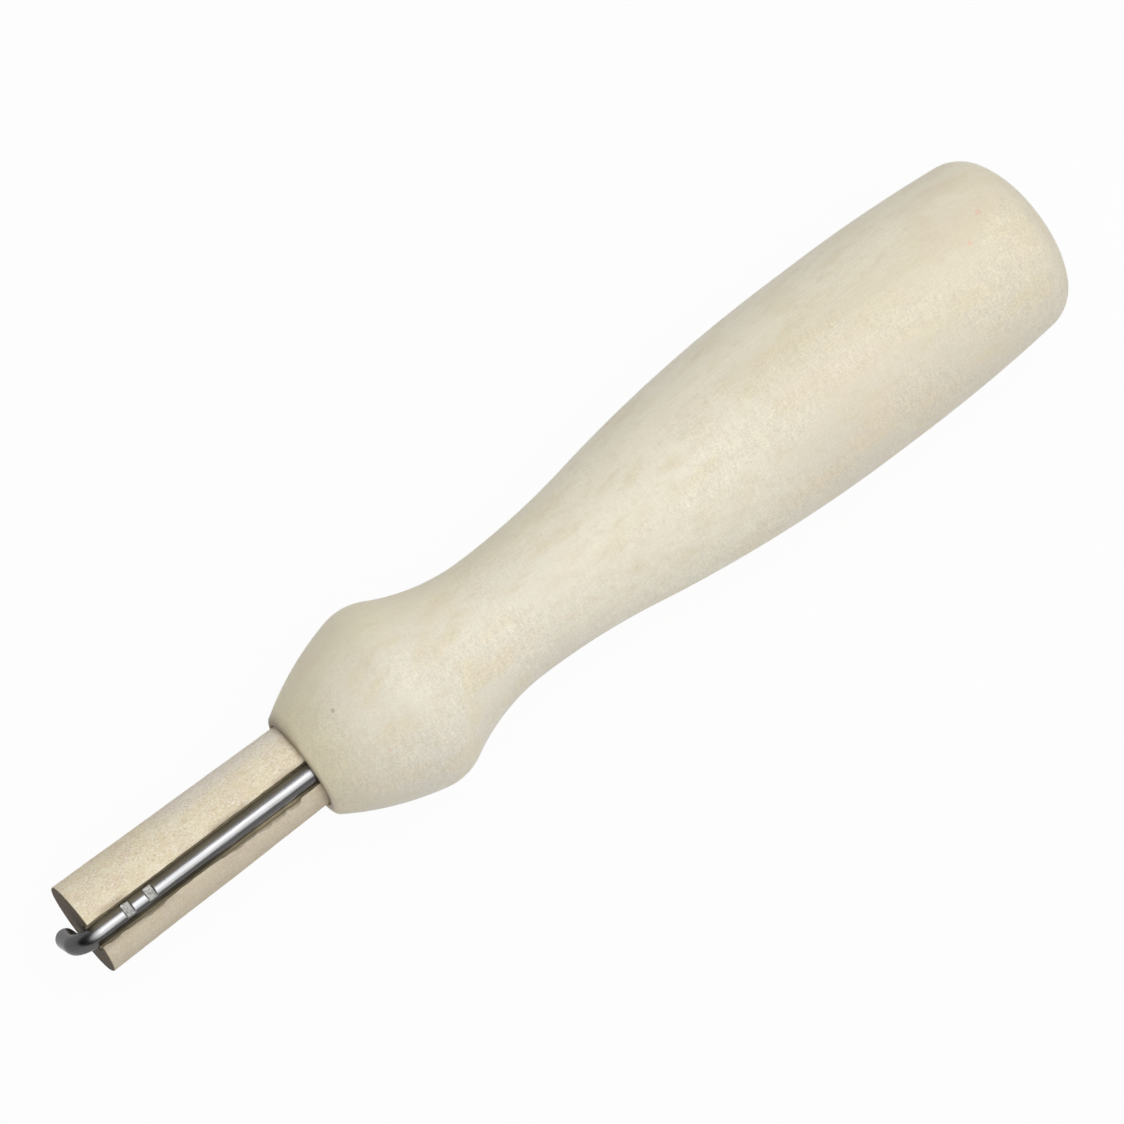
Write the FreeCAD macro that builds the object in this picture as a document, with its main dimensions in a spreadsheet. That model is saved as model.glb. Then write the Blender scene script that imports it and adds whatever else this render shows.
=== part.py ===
"""A hand tool for needle felting: a turned wooden handle, a slotted wooden plug wedged in
its mouth, and one felting needle stowed point-inwards in the plug's slot.

Frame: the tool lies on its side, +X from the butt to the needle's crank, +Z up. The origin
is under the middle of the tool, on the surface that the handle's belly rests on.
"""
import FreeCAD, Part
import math
import os
import Sketcher

Vector = FreeCAD.Vector

# Driving dimensions in millimetres, and angles in degrees. A "station" is measured along
# the handle's axis from its mouth, and a "curve" is the radius of an arc in an outline.
SIZES = (
    ("handle_length", 77.55, "handle, mouth face to butt face"),
    ("belly_radius", 9.0, "handle's thickest stretch, in the palm"),
    ("belly_station", 55.7, "front edge of the thickest stretch"),
    ("belly_land", 3.4, "length of the thickest stretch"),
    ("rear_belly_curve", 139.0, "belly behind its thickest stretch"),
    ("corner_curve", 4.04, "round between belly and butt dome"),
    ("dome_curve", 9.6, "butt dome"),
    ("butt_flat_radius", 1.55, "flat left at the middle of the butt"),
    ("waist_radius", 5.94, "thinnest stretch, behind the bulb"),
    ("waist_station", 21.05, "thinnest stretch"),
    ("rear_cove_curve", 66.0, "long hollow behind the waist"),
    ("crest_radius", 8.72, "bulb's crest"),
    ("crest_station", 9.99, "bulb's crest"),
    ("crest_curve", 5.18, "bulb's crest, seen from the side"),
    ("nose_curve", 27.1, "bulb's front, from crest to lip"),
    ("lip_curve", 0.88, "round lip of the mouth"),
    ("lip_land", 0.36, "flat between the bore's size and the lip's round"),
    ("bore_radius", 4.0, "bore for the plug"),
    ("bore_end_gap", 4.7, "needle's point to the end of the bore's wall"),
    ("bore_drill_angle", 118.0, "drill point at the bore's end"),
    ("bore_offset", 0.3, "bore's axis from the handle's axis, towards -Y"),
    ("plug_grip", 17.4, "length of plug inside the handle"),
    ("plug_reach", 22.85, "length of plug outside the handle"),
    ("plug_taper", 1.03, "plug's side to its axis, wider outwards"),
    ("plug_clearance", 0.03, "radial gap from plug to bore at the mouth"),
    ("plug_rim_round", 0.2, "round on the plug's two rims"),
    ("slot_lean", 10.5, "slot's opening from +Z towards +Y"),
    ("slot_offset", 1.08, "slot's middle from the plug's axis, towards +Y"),
    ("slot_side_gap", 0.185, "gap on each side of the shank"),
    ("slot_floor_gap", 0.17, "gap under the shank, for the start of its bend"),
    ("slot_overrun", 1.0, "slot's cut beyond the plug's widest radius"),
    ("needle_wall_gap", 0.055, "gap from the shank to the bore's wall"),
    ("wire_radius", 0.915, "needle's shank and crank"),
    ("needle_length", 76.2, "needle, from the crank's outer side to the point"),
    ("bend_curve", 1.83, "middle line of the bend between shank and crank"),
    ("crank_gap", 0.47, "plug's outer face to the crank"),
    ("crank_length", 4.47, "shank's axis to the crank's end"),
    ("crank_lean", 28.3, "crank's plane from +Z towards +Y"),
    ("crank_end_round", 0.25, "round on the crank's cut end"),
    ("shank_length", 38.0, "full-size wire, from the crank's outer side"),
    ("shank_taper_length", 2.5, "cone from the shank to the reduced section"),
    ("reduced_radius", 0.6, "reduced section"),
    ("blade_length", 24.0, "triangular blade and its point"),
    ("blade_taper_length", 2.5, "cone from the reduced section to the blade"),
    ("blade_radius", 0.4, "blade's corners from its axis"),
    ("blade_root_radius", 0.17, "thin end of that cone, inside the blade"),
    ("blade_overlap", 1.7, "length of blade that grows out of that cone"),
    ("point_length", 4.5, "tapered point"),
    ("point_radius", 0.05, "corners of the point's end"),
    ("barb_depth", 0.07, "barb's cut into a corner of the blade"),
    ("barb_length", 0.55, "barb's slope along the blade"),
    ("barb_first", 6.0, "first barb from the point"),
    ("barb_pitch", 3.6, "from one barb to the next on the same corner"),
    ("barb_width", 0.5, "width of the cut across a corner"),
    ("notch_first", 3.7, "first gauge notch from the plug's outer face"),
    ("notch_pitch", 2.3, "first gauge notch to the second"),
    ("notch_width", 0.85, "gauge notch along the shank"),
    ("notch_depth", 0.18, "gauge notch into the shank"),
)
BARBS_PER_CORNER = 3
BLADE_CORNERS = 3

# Sizes that follow from the sheet, as its expressions.
TOOL_LENGTH = ("(sizes.handle_length + sizes.plug_reach + sizes.crank_gap"
               " + 2 * sizes.wire_radius)")
AXIS_HEIGHT = "max(sizes.belly_radius; sizes.crest_radius)"
MOUTH = f"(sizes.handle_length - {TOOL_LENGTH} / 2)"
PLUG_LENGTH = "(sizes.plug_grip + sizes.plug_reach)"
PLUG_MOUTH_RADIUS = "(sizes.bore_radius - sizes.plug_clearance)"
PLUG_SLOPE = "tan(sizes.plug_taper * 1 deg)"
PLUG_INNER_RADIUS = f"({PLUG_MOUTH_RADIUS} - sizes.plug_grip * {PLUG_SLOPE})"
PLUG_OUTER_RADIUS = f"({PLUG_MOUTH_RADIUS} + sizes.plug_reach * {PLUG_SLOPE})"
SHANK_REACH = "(sizes.bore_radius - sizes.needle_wall_gap - sizes.wire_radius)"
SHANK_HEIGHT = f"sqrt({SHANK_REACH} ^ 2 - sizes.slot_offset ^ 2)"
SHANK_START = "(sizes.needle_length - sizes.shank_length)"
CRANK_X = "(sizes.needle_length - sizes.wire_radius)"
PLUG_FACE_ON_NEEDLE = "(sizes.needle_length - 2 * sizes.wire_radius - sizes.crank_gap)"
BORE_DEPTH = f"({PLUG_FACE_ON_NEEDLE} - sizes.plug_reach + sizes.bore_end_gap)"

# The sketcher's numbers for a sketch's own origin and axes, and for the ends of an edge.
SHEET_ORIGIN = (-1, 1)
LEVEL_AXIS = -1
START, END, CENTRE = 1, 2, 3


def make_sheet(document):
    """Puts the driving dimensions into a spreadsheet, one alias to a row."""
    sheet = document.addObject("Spreadsheet::Sheet", "sizes")
    for row, (alias, value, meaning) in enumerate(SIZES, start=1):
        sheet.set(f"A{row}", meaning)
        sheet.set(f"B{row}", str(value))
        sheet.setAlias(f"B{row}", alias)
    document.recompute()
    return sheet


def new_body(document, label):
    """A body whose label is the name of its node."""
    body = document.addObject("PartDesign::Body", label)
    body.Label = label
    return body


def origin_plane(body, role):
    """One of a body's own origin planes, such as XZ_Plane."""
    return next(item for item in body.Origin.OriginFeatures if item.Role == role)


def new_sketch(body, name, role):
    """A sketch on one of the body's own origin planes."""
    sketch = body.newObject("Sketcher::SketchObject", name)
    sketch.AttachmentSupport = [(origin_plane(body, role), "")]
    sketch.MapMode = "FlatFace"
    return sketch


def drive(sketch, kind, places, drawn, expression):
    """Adds one dimension to a sketch, as drawn, and ties it to the sheet."""
    index = sketch.addConstraint(Sketcher.Constraint(kind, *places, drawn))
    sketch.setExpression(f"Constraints[{index}]", expression)


def drive_radius(sketch, edge, expression):
    """Ties an arc's or circle's radius to the sheet."""
    drive(sketch, "Radius", (edge,), sketch.Geometry[edge].Radius, expression)


def drive_along(sketch, edge, end, expression):
    """Ties a point's distance from the sketch's origin, sideways, to the sheet."""
    drawn = sketch.getPoint(edge, end).x
    drive(sketch, "DistanceX", (*SHEET_ORIGIN, edge, end), drawn, expression)


def drive_height(sketch, edge, end, expression):
    """Ties a point's distance from the sketch's origin, upwards, to the sheet."""
    drawn = sketch.getPoint(edge, end).y
    drive(sketch, "DistanceY", (*SHEET_ORIGIN, edge, end), drawn, expression)


def arc_through(first, last, radius):
    """Arc from first to last. A positive radius bulges to the left of the way there, and a
    negative one to the right. Its centre is on the chord's middle perpendicular."""
    chord = last - first
    right = Vector(chord.y, -chord.x, 0).normalize()
    reach = math.sqrt(radius ** 2 - (chord.Length / 2) ** 2)
    centre = (first + last) * 0.5 + right * math.copysign(reach, radius)
    start, end = (last, first) if radius > 0 else (first, last)
    angles = [math.atan2(spot.y - centre.y, spot.x - centre.x) for spot in (start, end)]
    return Part.ArcOfCircle(Part.Circle(centre, Vector(0, 0, 1), abs(radius)), *angles)


def draw_chain(sketch, spots, bulges, sharp=()):
    """Draws edges through spots and returns their numbers in the sketch. Edge i goes from
    spot i to the next: it is straight where bulges[i] is 0, and otherwise an arc, as
    arc_through says. It runs on smoothly into the edge after it, unless i is in sharp. With
    as many bulges as spots, the chain closes."""
    corners = [Vector(x, y, 0) for x, y in spots]
    corners.append(corners[0])
    edges = []
    for number, bulge in enumerate(bulges):
        first, last = corners[number], corners[number + 1]
        curve = arc_through(first, last, bulge) if bulge else Part.LineSegment(first, last)
        edges.append(sketch.addGeometry(curve, False))
    joints = range(len(bulges) if len(bulges) == len(spots) else len(bulges) - 1)
    for number in joints:
        after = (number + 1) % len(bulges)
        leaving = START if bulges[number] > 0 else END
        entering = END if bulges[after] > 0 else START
        kind = "Coincident" if number in sharp else "Tangent"
        ends = (edges[number], leaving, edges[after], entering)
        sketch.addConstraint(Sketcher.Constraint(kind, *ends))
    return edges


def draw_polygon(sketch, spots):
    """Draws a closed outline of straight edges. An edge that is drawn level or upright
    stays so."""
    edges = draw_chain(sketch, spots, [0] * len(spots), sharp=range(len(spots)))
    for edge, first, last in zip(edges, spots, (*spots[1:], spots[0])):
        if first[1] == last[1]:
            sketch.addConstraint(Sketcher.Constraint("Horizontal", edge))
        elif first[0] == last[0]:
            sketch.addConstraint(Sketcher.Constraint("Vertical", edge))
    return edges


def draw_disc(sketch, radius, expression):
    """Draws a circle about the sketch's origin, its radius tied to the sheet."""
    circle = sketch.addGeometry(Part.Circle(Vector(), Vector(0, 0, 1), radius), False)
    sketch.addConstraint(Sketcher.Constraint("Coincident", circle, CENTRE, *SHEET_ORIGIN))
    drive_radius(sketch, circle, expression)
    return circle


def cut(body, name, sketch, before):
    """Pocket through everything on both sides of its sketch's plane, checked to have taken
    something away."""
    pocket = body.newObject("PartDesign::Pocket", name)
    pocket.Profile = sketch
    pocket.Type = "ThroughAll"
    pocket.SideType = "Symmetric"
    body.Document.recompute()
    check_smaller(pocket, before)
    return pocket


def check_smaller(feature, before):
    """Stops the build if a cut took nothing away, as one in a wrong direction would."""
    if not feature.Shape.Volume < before.Shape.Volume:
        raise RuntimeError(f"{feature.Name} cut nothing")


def round_rims(body, name, base, centres, expression):
    """Rounds the circular edges of base that lie about the given centres."""
    names = []
    for number, edge in enumerate(base.Shape.Edges, start=1):
        if not isinstance(edge.Curve, Part.Circle):
            continue
        if any(edge.Curve.Center.isEqual(centre, 1e-6) for centre in centres):
            names.append(f"Edge{number}")
    rounded = body.newObject("PartDesign::Fillet", name)
    rounded.Base = (base, names)
    rounded.setExpression("Radius", expression)
    return rounded


def spin(body, name, outline):
    """Turns a half outline once round its sketch's level axis."""
    turned = body.newObject("PartDesign::Revolution", name)
    turned.Profile = outline
    turned.ReferenceAxis = (outline, ["H_Axis"])
    turned.Angle = 360


def place(body, along, across, up):
    """Ties a body's place in the tool to the sheet."""
    body.setExpression("Placement.Base.x", along)
    body.setExpression("Placement.Base.y", across)
    body.setExpression("Placement.Base.z", up)


def draw_handle_outline(outline, sheet):
    """Draws the handle's half outline, from the flat of the butt over the belly, the waist
    and the bulb to the mouth, and back along the axis. The spots where stretches meet are
    drawn roughly, and the dimensions then move them to where the stretches are tangent."""
    length = sheet.handle_length
    thick, thin, bulb_top = sheet.belly_radius, sheet.waist_radius, sheet.crest_radius
    belly_front = length - sheet.belly_station
    waist = length - sheet.waist_station
    crest = length - sheet.crest_station
    mouth_face = sheet.bore_radius + sheet.lip_land
    cove = sheet.rear_cove_curve
    stretches = {
        # name: (rough start, bulge)
        "dome": ((0, sheet.butt_flat_radius), sheet.dome_curve),
        "corner": ((sheet.corner_curve * 0.3, sheet.butt_flat_radius + sheet.dome_curve * 0.5),
                   sheet.corner_curve),
        "rear_belly": ((sheet.corner_curve, thick - sheet.corner_curve * 0.2),
                       sheet.rear_belly_curve),
        "land": ((belly_front - sheet.belly_land, thick), 0),
        "front_belly": ((belly_front, thick), 2 * cove),
        "rear_cove": (((2 * waist + belly_front) / 3, (2 * thin + thick) / 3), -cove),
        "front_cove": ((waist, thin), -cove / 3),
        "bulb": (((3 * crest + waist) / 4, (3 * bulb_top + thin) / 4), sheet.crest_curve),
        "nose": ((crest + sheet.crest_curve * 0.2, bulb_top), sheet.nose_curve),
        "lip": ((length - sheet.lip_curve * 0.5, mouth_face + sheet.lip_curve * 0.85),
                sheet.lip_curve),
        "mouth": ((length, mouth_face), 0),
        "axis": ((length, 0), 0),
        "butt": ((0, 0), 0),
    }
    names = list(stretches)
    spots, bulges = zip(*stretches.values())
    sharp = (names.index("mouth"), names.index("axis"))
    edge = dict(zip(names, draw_chain(outline, spots, bulges, sharp)))
    for direction, name in (("Horizontal", "land"), ("Horizontal", "axis"),
                            ("Vertical", "mouth"), ("Vertical", "butt")):
        outline.addConstraint(Sketcher.Constraint(direction, edge[name]))
    origin_ends = (edge["butt"], START, *SHEET_ORIGIN)
    outline.addConstraint(Sketcher.Constraint("Coincident", *origin_ends))
    waist_ends = (edge["rear_cove"], CENTRE, edge["rear_cove"], END)
    outline.addConstraint(Sketcher.Constraint("Vertical", *waist_ends))
    for name, alias in (("dome", "dome_curve"), ("corner", "corner_curve"),
                        ("rear_belly", "rear_belly_curve"), ("rear_cove", "rear_cove_curve"),
                        ("bulb", "crest_curve"), ("nose", "nose_curve"), ("lip", "lip_curve")):
        drive_radius(outline, edge[name], f"sizes.{alias}")
    drive_height(outline, edge["butt"], END, "sizes.butt_flat_radius")
    drive_height(outline, edge["mouth"], START, "sizes.bore_radius + sizes.lip_land")
    drive_along(outline, edge["mouth"], START, "sizes.handle_length")
    drive_height(outline, edge["land"], END, "sizes.belly_radius")
    drive_along(outline, edge["land"], END, "sizes.handle_length - sizes.belly_station")
    drive(outline, "Distance", (edge["land"],), sheet.belly_land, "sizes.belly_land")
    drive_height(outline, edge["rear_cove"], END, "sizes.waist_radius")
    drive_along(outline, edge["rear_cove"], END, "sizes.handle_length - sizes.waist_station")
    drive_height(outline, edge["bulb"], CENTRE, "sizes.crest_radius - sizes.crest_curve")
    drive_along(outline, edge["bulb"], CENTRE, "sizes.handle_length - sizes.crest_station")


def bore_handle(document, sheet, body):
    """Drills the blind bore from the mouth face, a little off the handle's axis."""
    turning = body.Tip
    bore_circle = new_sketch(body, "bore_circle", "YZ_Plane")
    bore_circle.setExpression("AttachmentOffset.Base.z", "sizes.handle_length")
    centre = Vector(-sheet.bore_offset, 0, 0)
    drawn = Part.Circle(centre, Vector(0, 0, 1), sheet.bore_radius)
    circle = bore_circle.addGeometry(drawn, False)
    on_level = Sketcher.Constraint("PointOnObject", circle, CENTRE, LEVEL_AXIS)
    bore_circle.addConstraint(on_level)
    offset_ends = (circle, CENTRE, *SHEET_ORIGIN)
    drive(bore_circle, "DistanceX", offset_ends, sheet.bore_offset, "sizes.bore_offset")
    drive_radius(bore_circle, circle, "sizes.bore_radius")
    document.recompute()
    bore = body.newObject("PartDesign::Hole", "bore")
    bore.Profile = bore_circle
    document.recompute()
    bore.DepthType = "Dimension"
    bore.DrillPoint = "Angled"
    bore.setExpression("Diameter", "2 * sizes.bore_radius")
    bore.setExpression("Depth", BORE_DEPTH)
    bore.setExpression("DrillPointAngle", "sizes.bore_drill_angle")
    document.recompute()
    check_smaller(bore, turning)


def make_handle(document, sheet):
    """Turned handle: one smooth outline spun about its axis, then bored from the mouth.
    Its own frame has the butt at the origin and +X towards the mouth."""
    body = new_body(document, "handle")
    outline = new_sketch(body, "handle_outline", "XZ_Plane")
    draw_handle_outline(outline, sheet)
    spin(body, "turning", outline)
    document.recompute()
    bore_handle(document, sheet, body)
    place(body, f"-{TOOL_LENGTH} / 2", "0", AXIS_HEIGHT)
    return body


def make_plug(document, sheet):
    """Tapered wooden plug with rounded rims and one slot along its whole length. Its own
    frame has the inner end at the origin and +X outwards."""
    body = new_body(document, "slotted_plug")
    dowel = body.newObject("PartDesign::AdditiveCone", "dowel")
    dowel.AttachmentSupport = [(origin_plane(body, "YZ_Plane"), "")]
    dowel.MapMode = "FlatFace"
    dowel.setExpression("Height", PLUG_LENGTH)
    dowel.setExpression("Radius1", PLUG_INNER_RADIUS)
    dowel.setExpression("Radius2", PLUG_OUTER_RADIUS)
    document.recompute()
    ends = (Vector(), Vector(sheet.plug_grip + sheet.plug_reach, 0, 0))
    rims = round_rims(body, "plug_rims", dowel, ends, "sizes.plug_rim_round")
    document.recompute()

    slot_section = new_sketch(body, "slot_section", "YZ_Plane")
    slot_section.AttachmentOffset = FreeCAD.Placement(
        Vector(), FreeCAD.Rotation(Vector(0, 0, -1), 1))
    slot_section.setExpression("AttachmentOffset.Rotation.Angle", "sizes.slot_lean")
    half = sheet.wire_radius + sheet.slot_side_gap
    left, right = sheet.slot_offset - half, sheet.slot_offset + half
    low, high = half, 2 * sheet.bore_radius
    spots = ((left, low), (right, low), (right, high), (left, high))
    floor, side, top, _ = draw_polygon(slot_section, spots)
    half_width = "(sizes.wire_radius + sizes.slot_side_gap)"
    drive(slot_section, "Distance", (floor,), 2 * half, f"2 * {half_width}")
    drive_along(slot_section, floor, END, f"sizes.slot_offset + {half_width}")
    drive_height(slot_section, floor, START,
                 f"{SHANK_HEIGHT} - sizes.wire_radius - sizes.slot_floor_gap")
    drive_height(slot_section, top, START, f"{PLUG_OUTER_RADIUS} + sizes.slot_overrun")
    document.recompute()
    cut(body, "slot", slot_section, rims)
    place(body, f"{MOUTH} - sizes.plug_grip", "-sizes.bore_offset", AXIS_HEIGHT)
    return body


def make_needle(document, sheet):
    """Felting needle: bent round wire, a thinner round section, and a triangular blade with
    barbs. Its own frame has the point at the origin, +X towards the crank along the shank,
    and the crank bent down towards -Z."""
    body = new_body(document, "felting_needle")
    length = sheet.needle_length
    crank_x = length - sheet.wire_radius
    shank_start = length - sheet.shank_length
    bend = sheet.bend_curve
    path = new_sketch(body, "wire_path", "XZ_Plane")
    spots = ((shank_start, 0), (crank_x - bend, 0), (crank_x, -bend),
             (crank_x, -sheet.crank_length))
    shank, elbow, crank = draw_chain(path, spots, (0, bend, 0))
    path.addConstraint(Sketcher.Constraint("PointOnObject", shank, START, LEVEL_AXIS))
    path.addConstraint(Sketcher.Constraint("Horizontal", shank))
    path.addConstraint(Sketcher.Constraint("Vertical", crank))
    drive_radius(path, elbow, "sizes.bend_curve")
    drive_along(path, shank, START, SHANK_START)
    drive_along(path, crank, END, CRANK_X)
    straight = sheet.crank_length - bend
    drive(path, "Distance", (crank,), straight, "sizes.crank_length - sizes.bend_curve")
    section = new_sketch(body, "wire_section", "YZ_Plane")
    section.setExpression("AttachmentOffset.Base.z", SHANK_START)
    draw_disc(section, sheet.wire_radius, "sizes.wire_radius")
    document.recompute()
    wire = body.newObject("PartDesign::AdditivePipe", "bent_wire")
    wire.Profile = section
    wire.Spine = (path, [f"Edge{number}" for number in (1, 2, 3)])
    document.recompute()
    crank_end = Vector(crank_x, 0, -sheet.crank_length)
    round_rims(body, "crank_end", wire, [crank_end], "sizes.crank_end_round")
    document.recompute()

    outline = new_sketch(body, "lower_outline", "XZ_Plane")
    blade_root = sheet.blade_length
    reduced_start = blade_root + sheet.blade_taper_length
    reduced_end = shank_start - sheet.shank_taper_length
    spots = ((blade_root, 0), (blade_root, sheet.blade_root_radius),
             (reduced_start, sheet.reduced_radius), (reduced_end, sheet.reduced_radius),
             (shank_start, sheet.wire_radius), (shank_start, 0))
    root, cone, reduced, swell, shank_face, axis = draw_polygon(outline, spots)
    outline.addConstraint(Sketcher.Constraint("PointOnObject", axis, END, LEVEL_AXIS))
    drive_along(outline, root, START, "sizes.blade_length")
    drive_height(outline, root, END, "sizes.blade_root_radius")
    drive_along(outline, reduced, START, "sizes.blade_length + sizes.blade_taper_length")
    drive_height(outline, reduced, START, "sizes.reduced_radius")
    drive_along(outline, reduced, END, f"{SHANK_START} - sizes.shank_taper_length")
    drive_height(outline, shank_face, START, "sizes.wire_radius")
    drive_along(outline, shank_face, START, SHANK_START)
    spin(body, "reduced_section", outline)
    document.recompute()

    make_blade(document, sheet, body)
    make_barbs(document, sheet, body)
    make_gauge_notches(document, sheet, body)
    body.Placement = FreeCAD.Placement(Vector(), FreeCAD.Rotation(Vector(-1, 0, 0), 1))
    body.setExpression("Placement.Rotation.Angle", "sizes.crank_lean")
    up, side = "cos(sizes.slot_lean * 1 deg)", "sin(sizes.slot_lean * 1 deg)"
    place(body, f"{TOOL_LENGTH} / 2 - sizes.needle_length",
          f"sizes.slot_offset * {up} + {SHANK_HEIGHT} * {side} - sizes.bore_offset",
          f"{AXIS_HEIGHT} + {SHANK_HEIGHT} * {up} - sizes.slot_offset * {side}")
    return body


def draw_triangle(sketch, radius, expression):
    """Draws an equilateral triangle, level below, with its corners on a circle about the
    sketch's origin."""
    guide = draw_disc(sketch, radius, expression)
    sketch.toggleConstruction(guide)
    turns = [math.radians(degrees) for degrees in (210, 330, 90)]
    spots = [Vector(radius * math.cos(turn), radius * math.sin(turn), 0) for turn in turns]
    sides = []
    for first, last in zip(spots, spots[1:] + spots[:1]):
        sides.append(sketch.addGeometry(Part.LineSegment(first, last), False))
    for side, after in zip(sides, sides[1:] + sides[:1]):
        sketch.addConstraint(Sketcher.Constraint("Coincident", side, END, after, START))
        sketch.addConstraint(Sketcher.Constraint("PointOnObject", side, START, guide))
    sketch.addConstraint(Sketcher.Constraint("Equal", sides[0], sides[1]))
    sketch.addConstraint(Sketcher.Constraint("Equal", sides[1], sides[2]))
    sketch.addConstraint(Sketcher.Constraint("Horizontal", sides[0]))


def make_blade(document, sheet, body):
    """Triangular blade, from inside its root cone to the point's base, and the point."""
    base = new_sketch(body, "point_base", "YZ_Plane")
    base.setExpression("AttachmentOffset.Base.z", "sizes.point_length")
    draw_triangle(base, sheet.blade_radius, "sizes.blade_radius")
    document.recompute()
    blade = body.newObject("PartDesign::Pad", "blade")
    blade.Profile = base
    blade.setExpression("Length",
                        "sizes.blade_length + sizes.blade_overlap - sizes.point_length")
    tip = new_sketch(body, "point_end", "YZ_Plane")
    draw_triangle(tip, sheet.point_radius, "sizes.point_radius")
    document.recompute()
    point = body.newObject("PartDesign::AdditiveLoft", "point")
    point.Profile = tip
    point.Sections = [base]
    point.Ruled = True
    document.recompute()


def make_barbs(document, sheet, body):
    """Barbs on each corner of the blade, each corner's a third of the pitch further up than
    the last's. A barb is a slope into the corner, with a steep wall that faces the point."""
    for corner in range(BLADE_CORNERS):
        before = body.Tip
        barbs = new_sketch(body, f"barbs_{corner + 1}", "XZ_Plane")
        turn = 360 / BLADE_CORNERS * corner
        barbs.AttachmentOffset = FreeCAD.Placement(
            Vector(), FreeCAD.Rotation(Vector(1, 0, 0), turn))
        for barb in range(BARBS_PER_CORNER):
            steps = barb + corner / BLADE_CORNERS
            wall = sheet.barb_first + steps * sheet.barb_pitch
            start = wall - sheet.barb_length
            top = sheet.blade_radius + sheet.barb_depth
            spots = ((start, sheet.blade_radius), (wall, sheet.blade_radius - sheet.barb_depth),
                     (wall, top), (start, top))
            slope, steep, crown, _ = draw_polygon(barbs, spots)
            drive_along(barbs, steep, START,
                        f"sizes.barb_first + {steps} * sizes.barb_pitch")
            drive_height(barbs, steep, START, "sizes.blade_radius - sizes.barb_depth")
            drive_height(barbs, slope, START, "sizes.blade_radius")
            drive_height(barbs, crown, START, "sizes.blade_radius + sizes.barb_depth")
            drive(barbs, "Distance", (crown,), sheet.barb_length, "sizes.barb_length")
        document.recompute()
        pocket = body.newObject("PartDesign::Pocket", f"barb_cuts_{corner + 1}")
        pocket.Profile = barbs
        pocket.SideType = "Symmetric"
        pocket.setExpression("Length", "sizes.barb_width")
        document.recompute()
        check_smaller(pocket, before)


def make_gauge_notches(document, sheet, body):
    """Two shallow flats across the shank, near the crank, that mark the needle's gauge. They
    face straight up where the needle lies in its slot."""
    before = body.Tip
    flats = new_sketch(body, "gauge_flats", "XZ_Plane")
    flats.AttachmentOffset = FreeCAD.Placement(
        Vector(), FreeCAD.Rotation(Vector(1, 0, 0), 1))
    flats.setExpression("AttachmentOffset.Rotation.Angle", "sizes.crank_lean")
    outer_face = sheet.needle_length - 2 * sheet.wire_radius - sheet.crank_gap
    for number in range(2):
        middle = outer_face - sheet.notch_first - number * sheet.notch_pitch
        left, right = middle - sheet.notch_width / 2, middle + sheet.notch_width / 2
        low, high = sheet.wire_radius - sheet.notch_depth, 2 * sheet.wire_radius
        spots = ((left, low), (right, low), (right, high), (left, high))
        floor, side, top, _ = draw_polygon(flats, spots)
        drive_along(flats, floor, END,
                    f"{PLUG_FACE_ON_NEEDLE} - sizes.notch_first"
                    f" - {number} * sizes.notch_pitch + sizes.notch_width / 2")
        drive(flats, "Distance", (floor,), sheet.notch_width, "sizes.notch_width")
        drive_height(flats, floor, START, "sizes.wire_radius - sizes.notch_depth")
        drive_height(flats, top, START, "2 * sizes.wire_radius")
    document.recompute()
    cut(body, "gauge_notches", flats, before)


def check_document(document):
    """Stops the build if an object of the document failed to compute, or if the sheet leaves
    a sketch free to move."""
    for item in document.Objects:
        if "Invalid" in item.State or "Error" in item.State:
            raise RuntimeError(f"{item.Name} failed: {item.State}")
        if item.TypeId == "Sketcher::SketchObject" and not item.FullyConstrained:
            raise RuntimeError(f"{item.Name} isn't fully constrained")


def write_parts(bodies):
    """Checks each sub-part's shape, and writes it as parts/LABEL.step."""
    for body in bodies:
        if body.Shape.isNull() or not body.Shape.isValid():
            raise RuntimeError(f"{body.Label} has no valid shape")
    os.makedirs("parts", exist_ok=True)
    for body in bodies:
        body.Shape.exportStep(f"parts/{body.Label}.step")
        box = body.Shape.BoundBox
        print(f"{body.Label}: {len(body.Shape.Solids)} solid, {body.Shape.Volume:.1f} mm3,"
              f" X {box.XMin:.2f} to {box.XMax:.2f}, Y {box.YMin:.2f} to {box.YMax:.2f},"
              f" Z {box.ZMin:.2f} to {box.ZMax:.2f}")


def main():
    """Builds the document, checks it and writes the sub-parts."""
    document = FreeCAD.newDocument("felting_tool")
    sheet = make_sheet(document)
    bodies = [make(document, sheet) for make in (make_handle, make_plug, make_needle)]
    document.recompute()
    check_document(document)
    write_parts(bodies)


main()
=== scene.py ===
"""Looks of a felting needle holder: a turned wooden handle, a slotted wooden plug that closes
its bore, and a cranked steel needle that lies in the plug's slot.

Frame: +X from the handle's butt to the needle's crank, +Z up, origin under the middle of the
tool. Sizes in the classes are millimetres and degrees; meshes are metres.
"""

import logging
import math
from dataclasses import dataclass, field
from enum import Enum

import bmesh
import bpy
import numpy as np
from mathutils import Matrix, Quaternion, Vector

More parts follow.
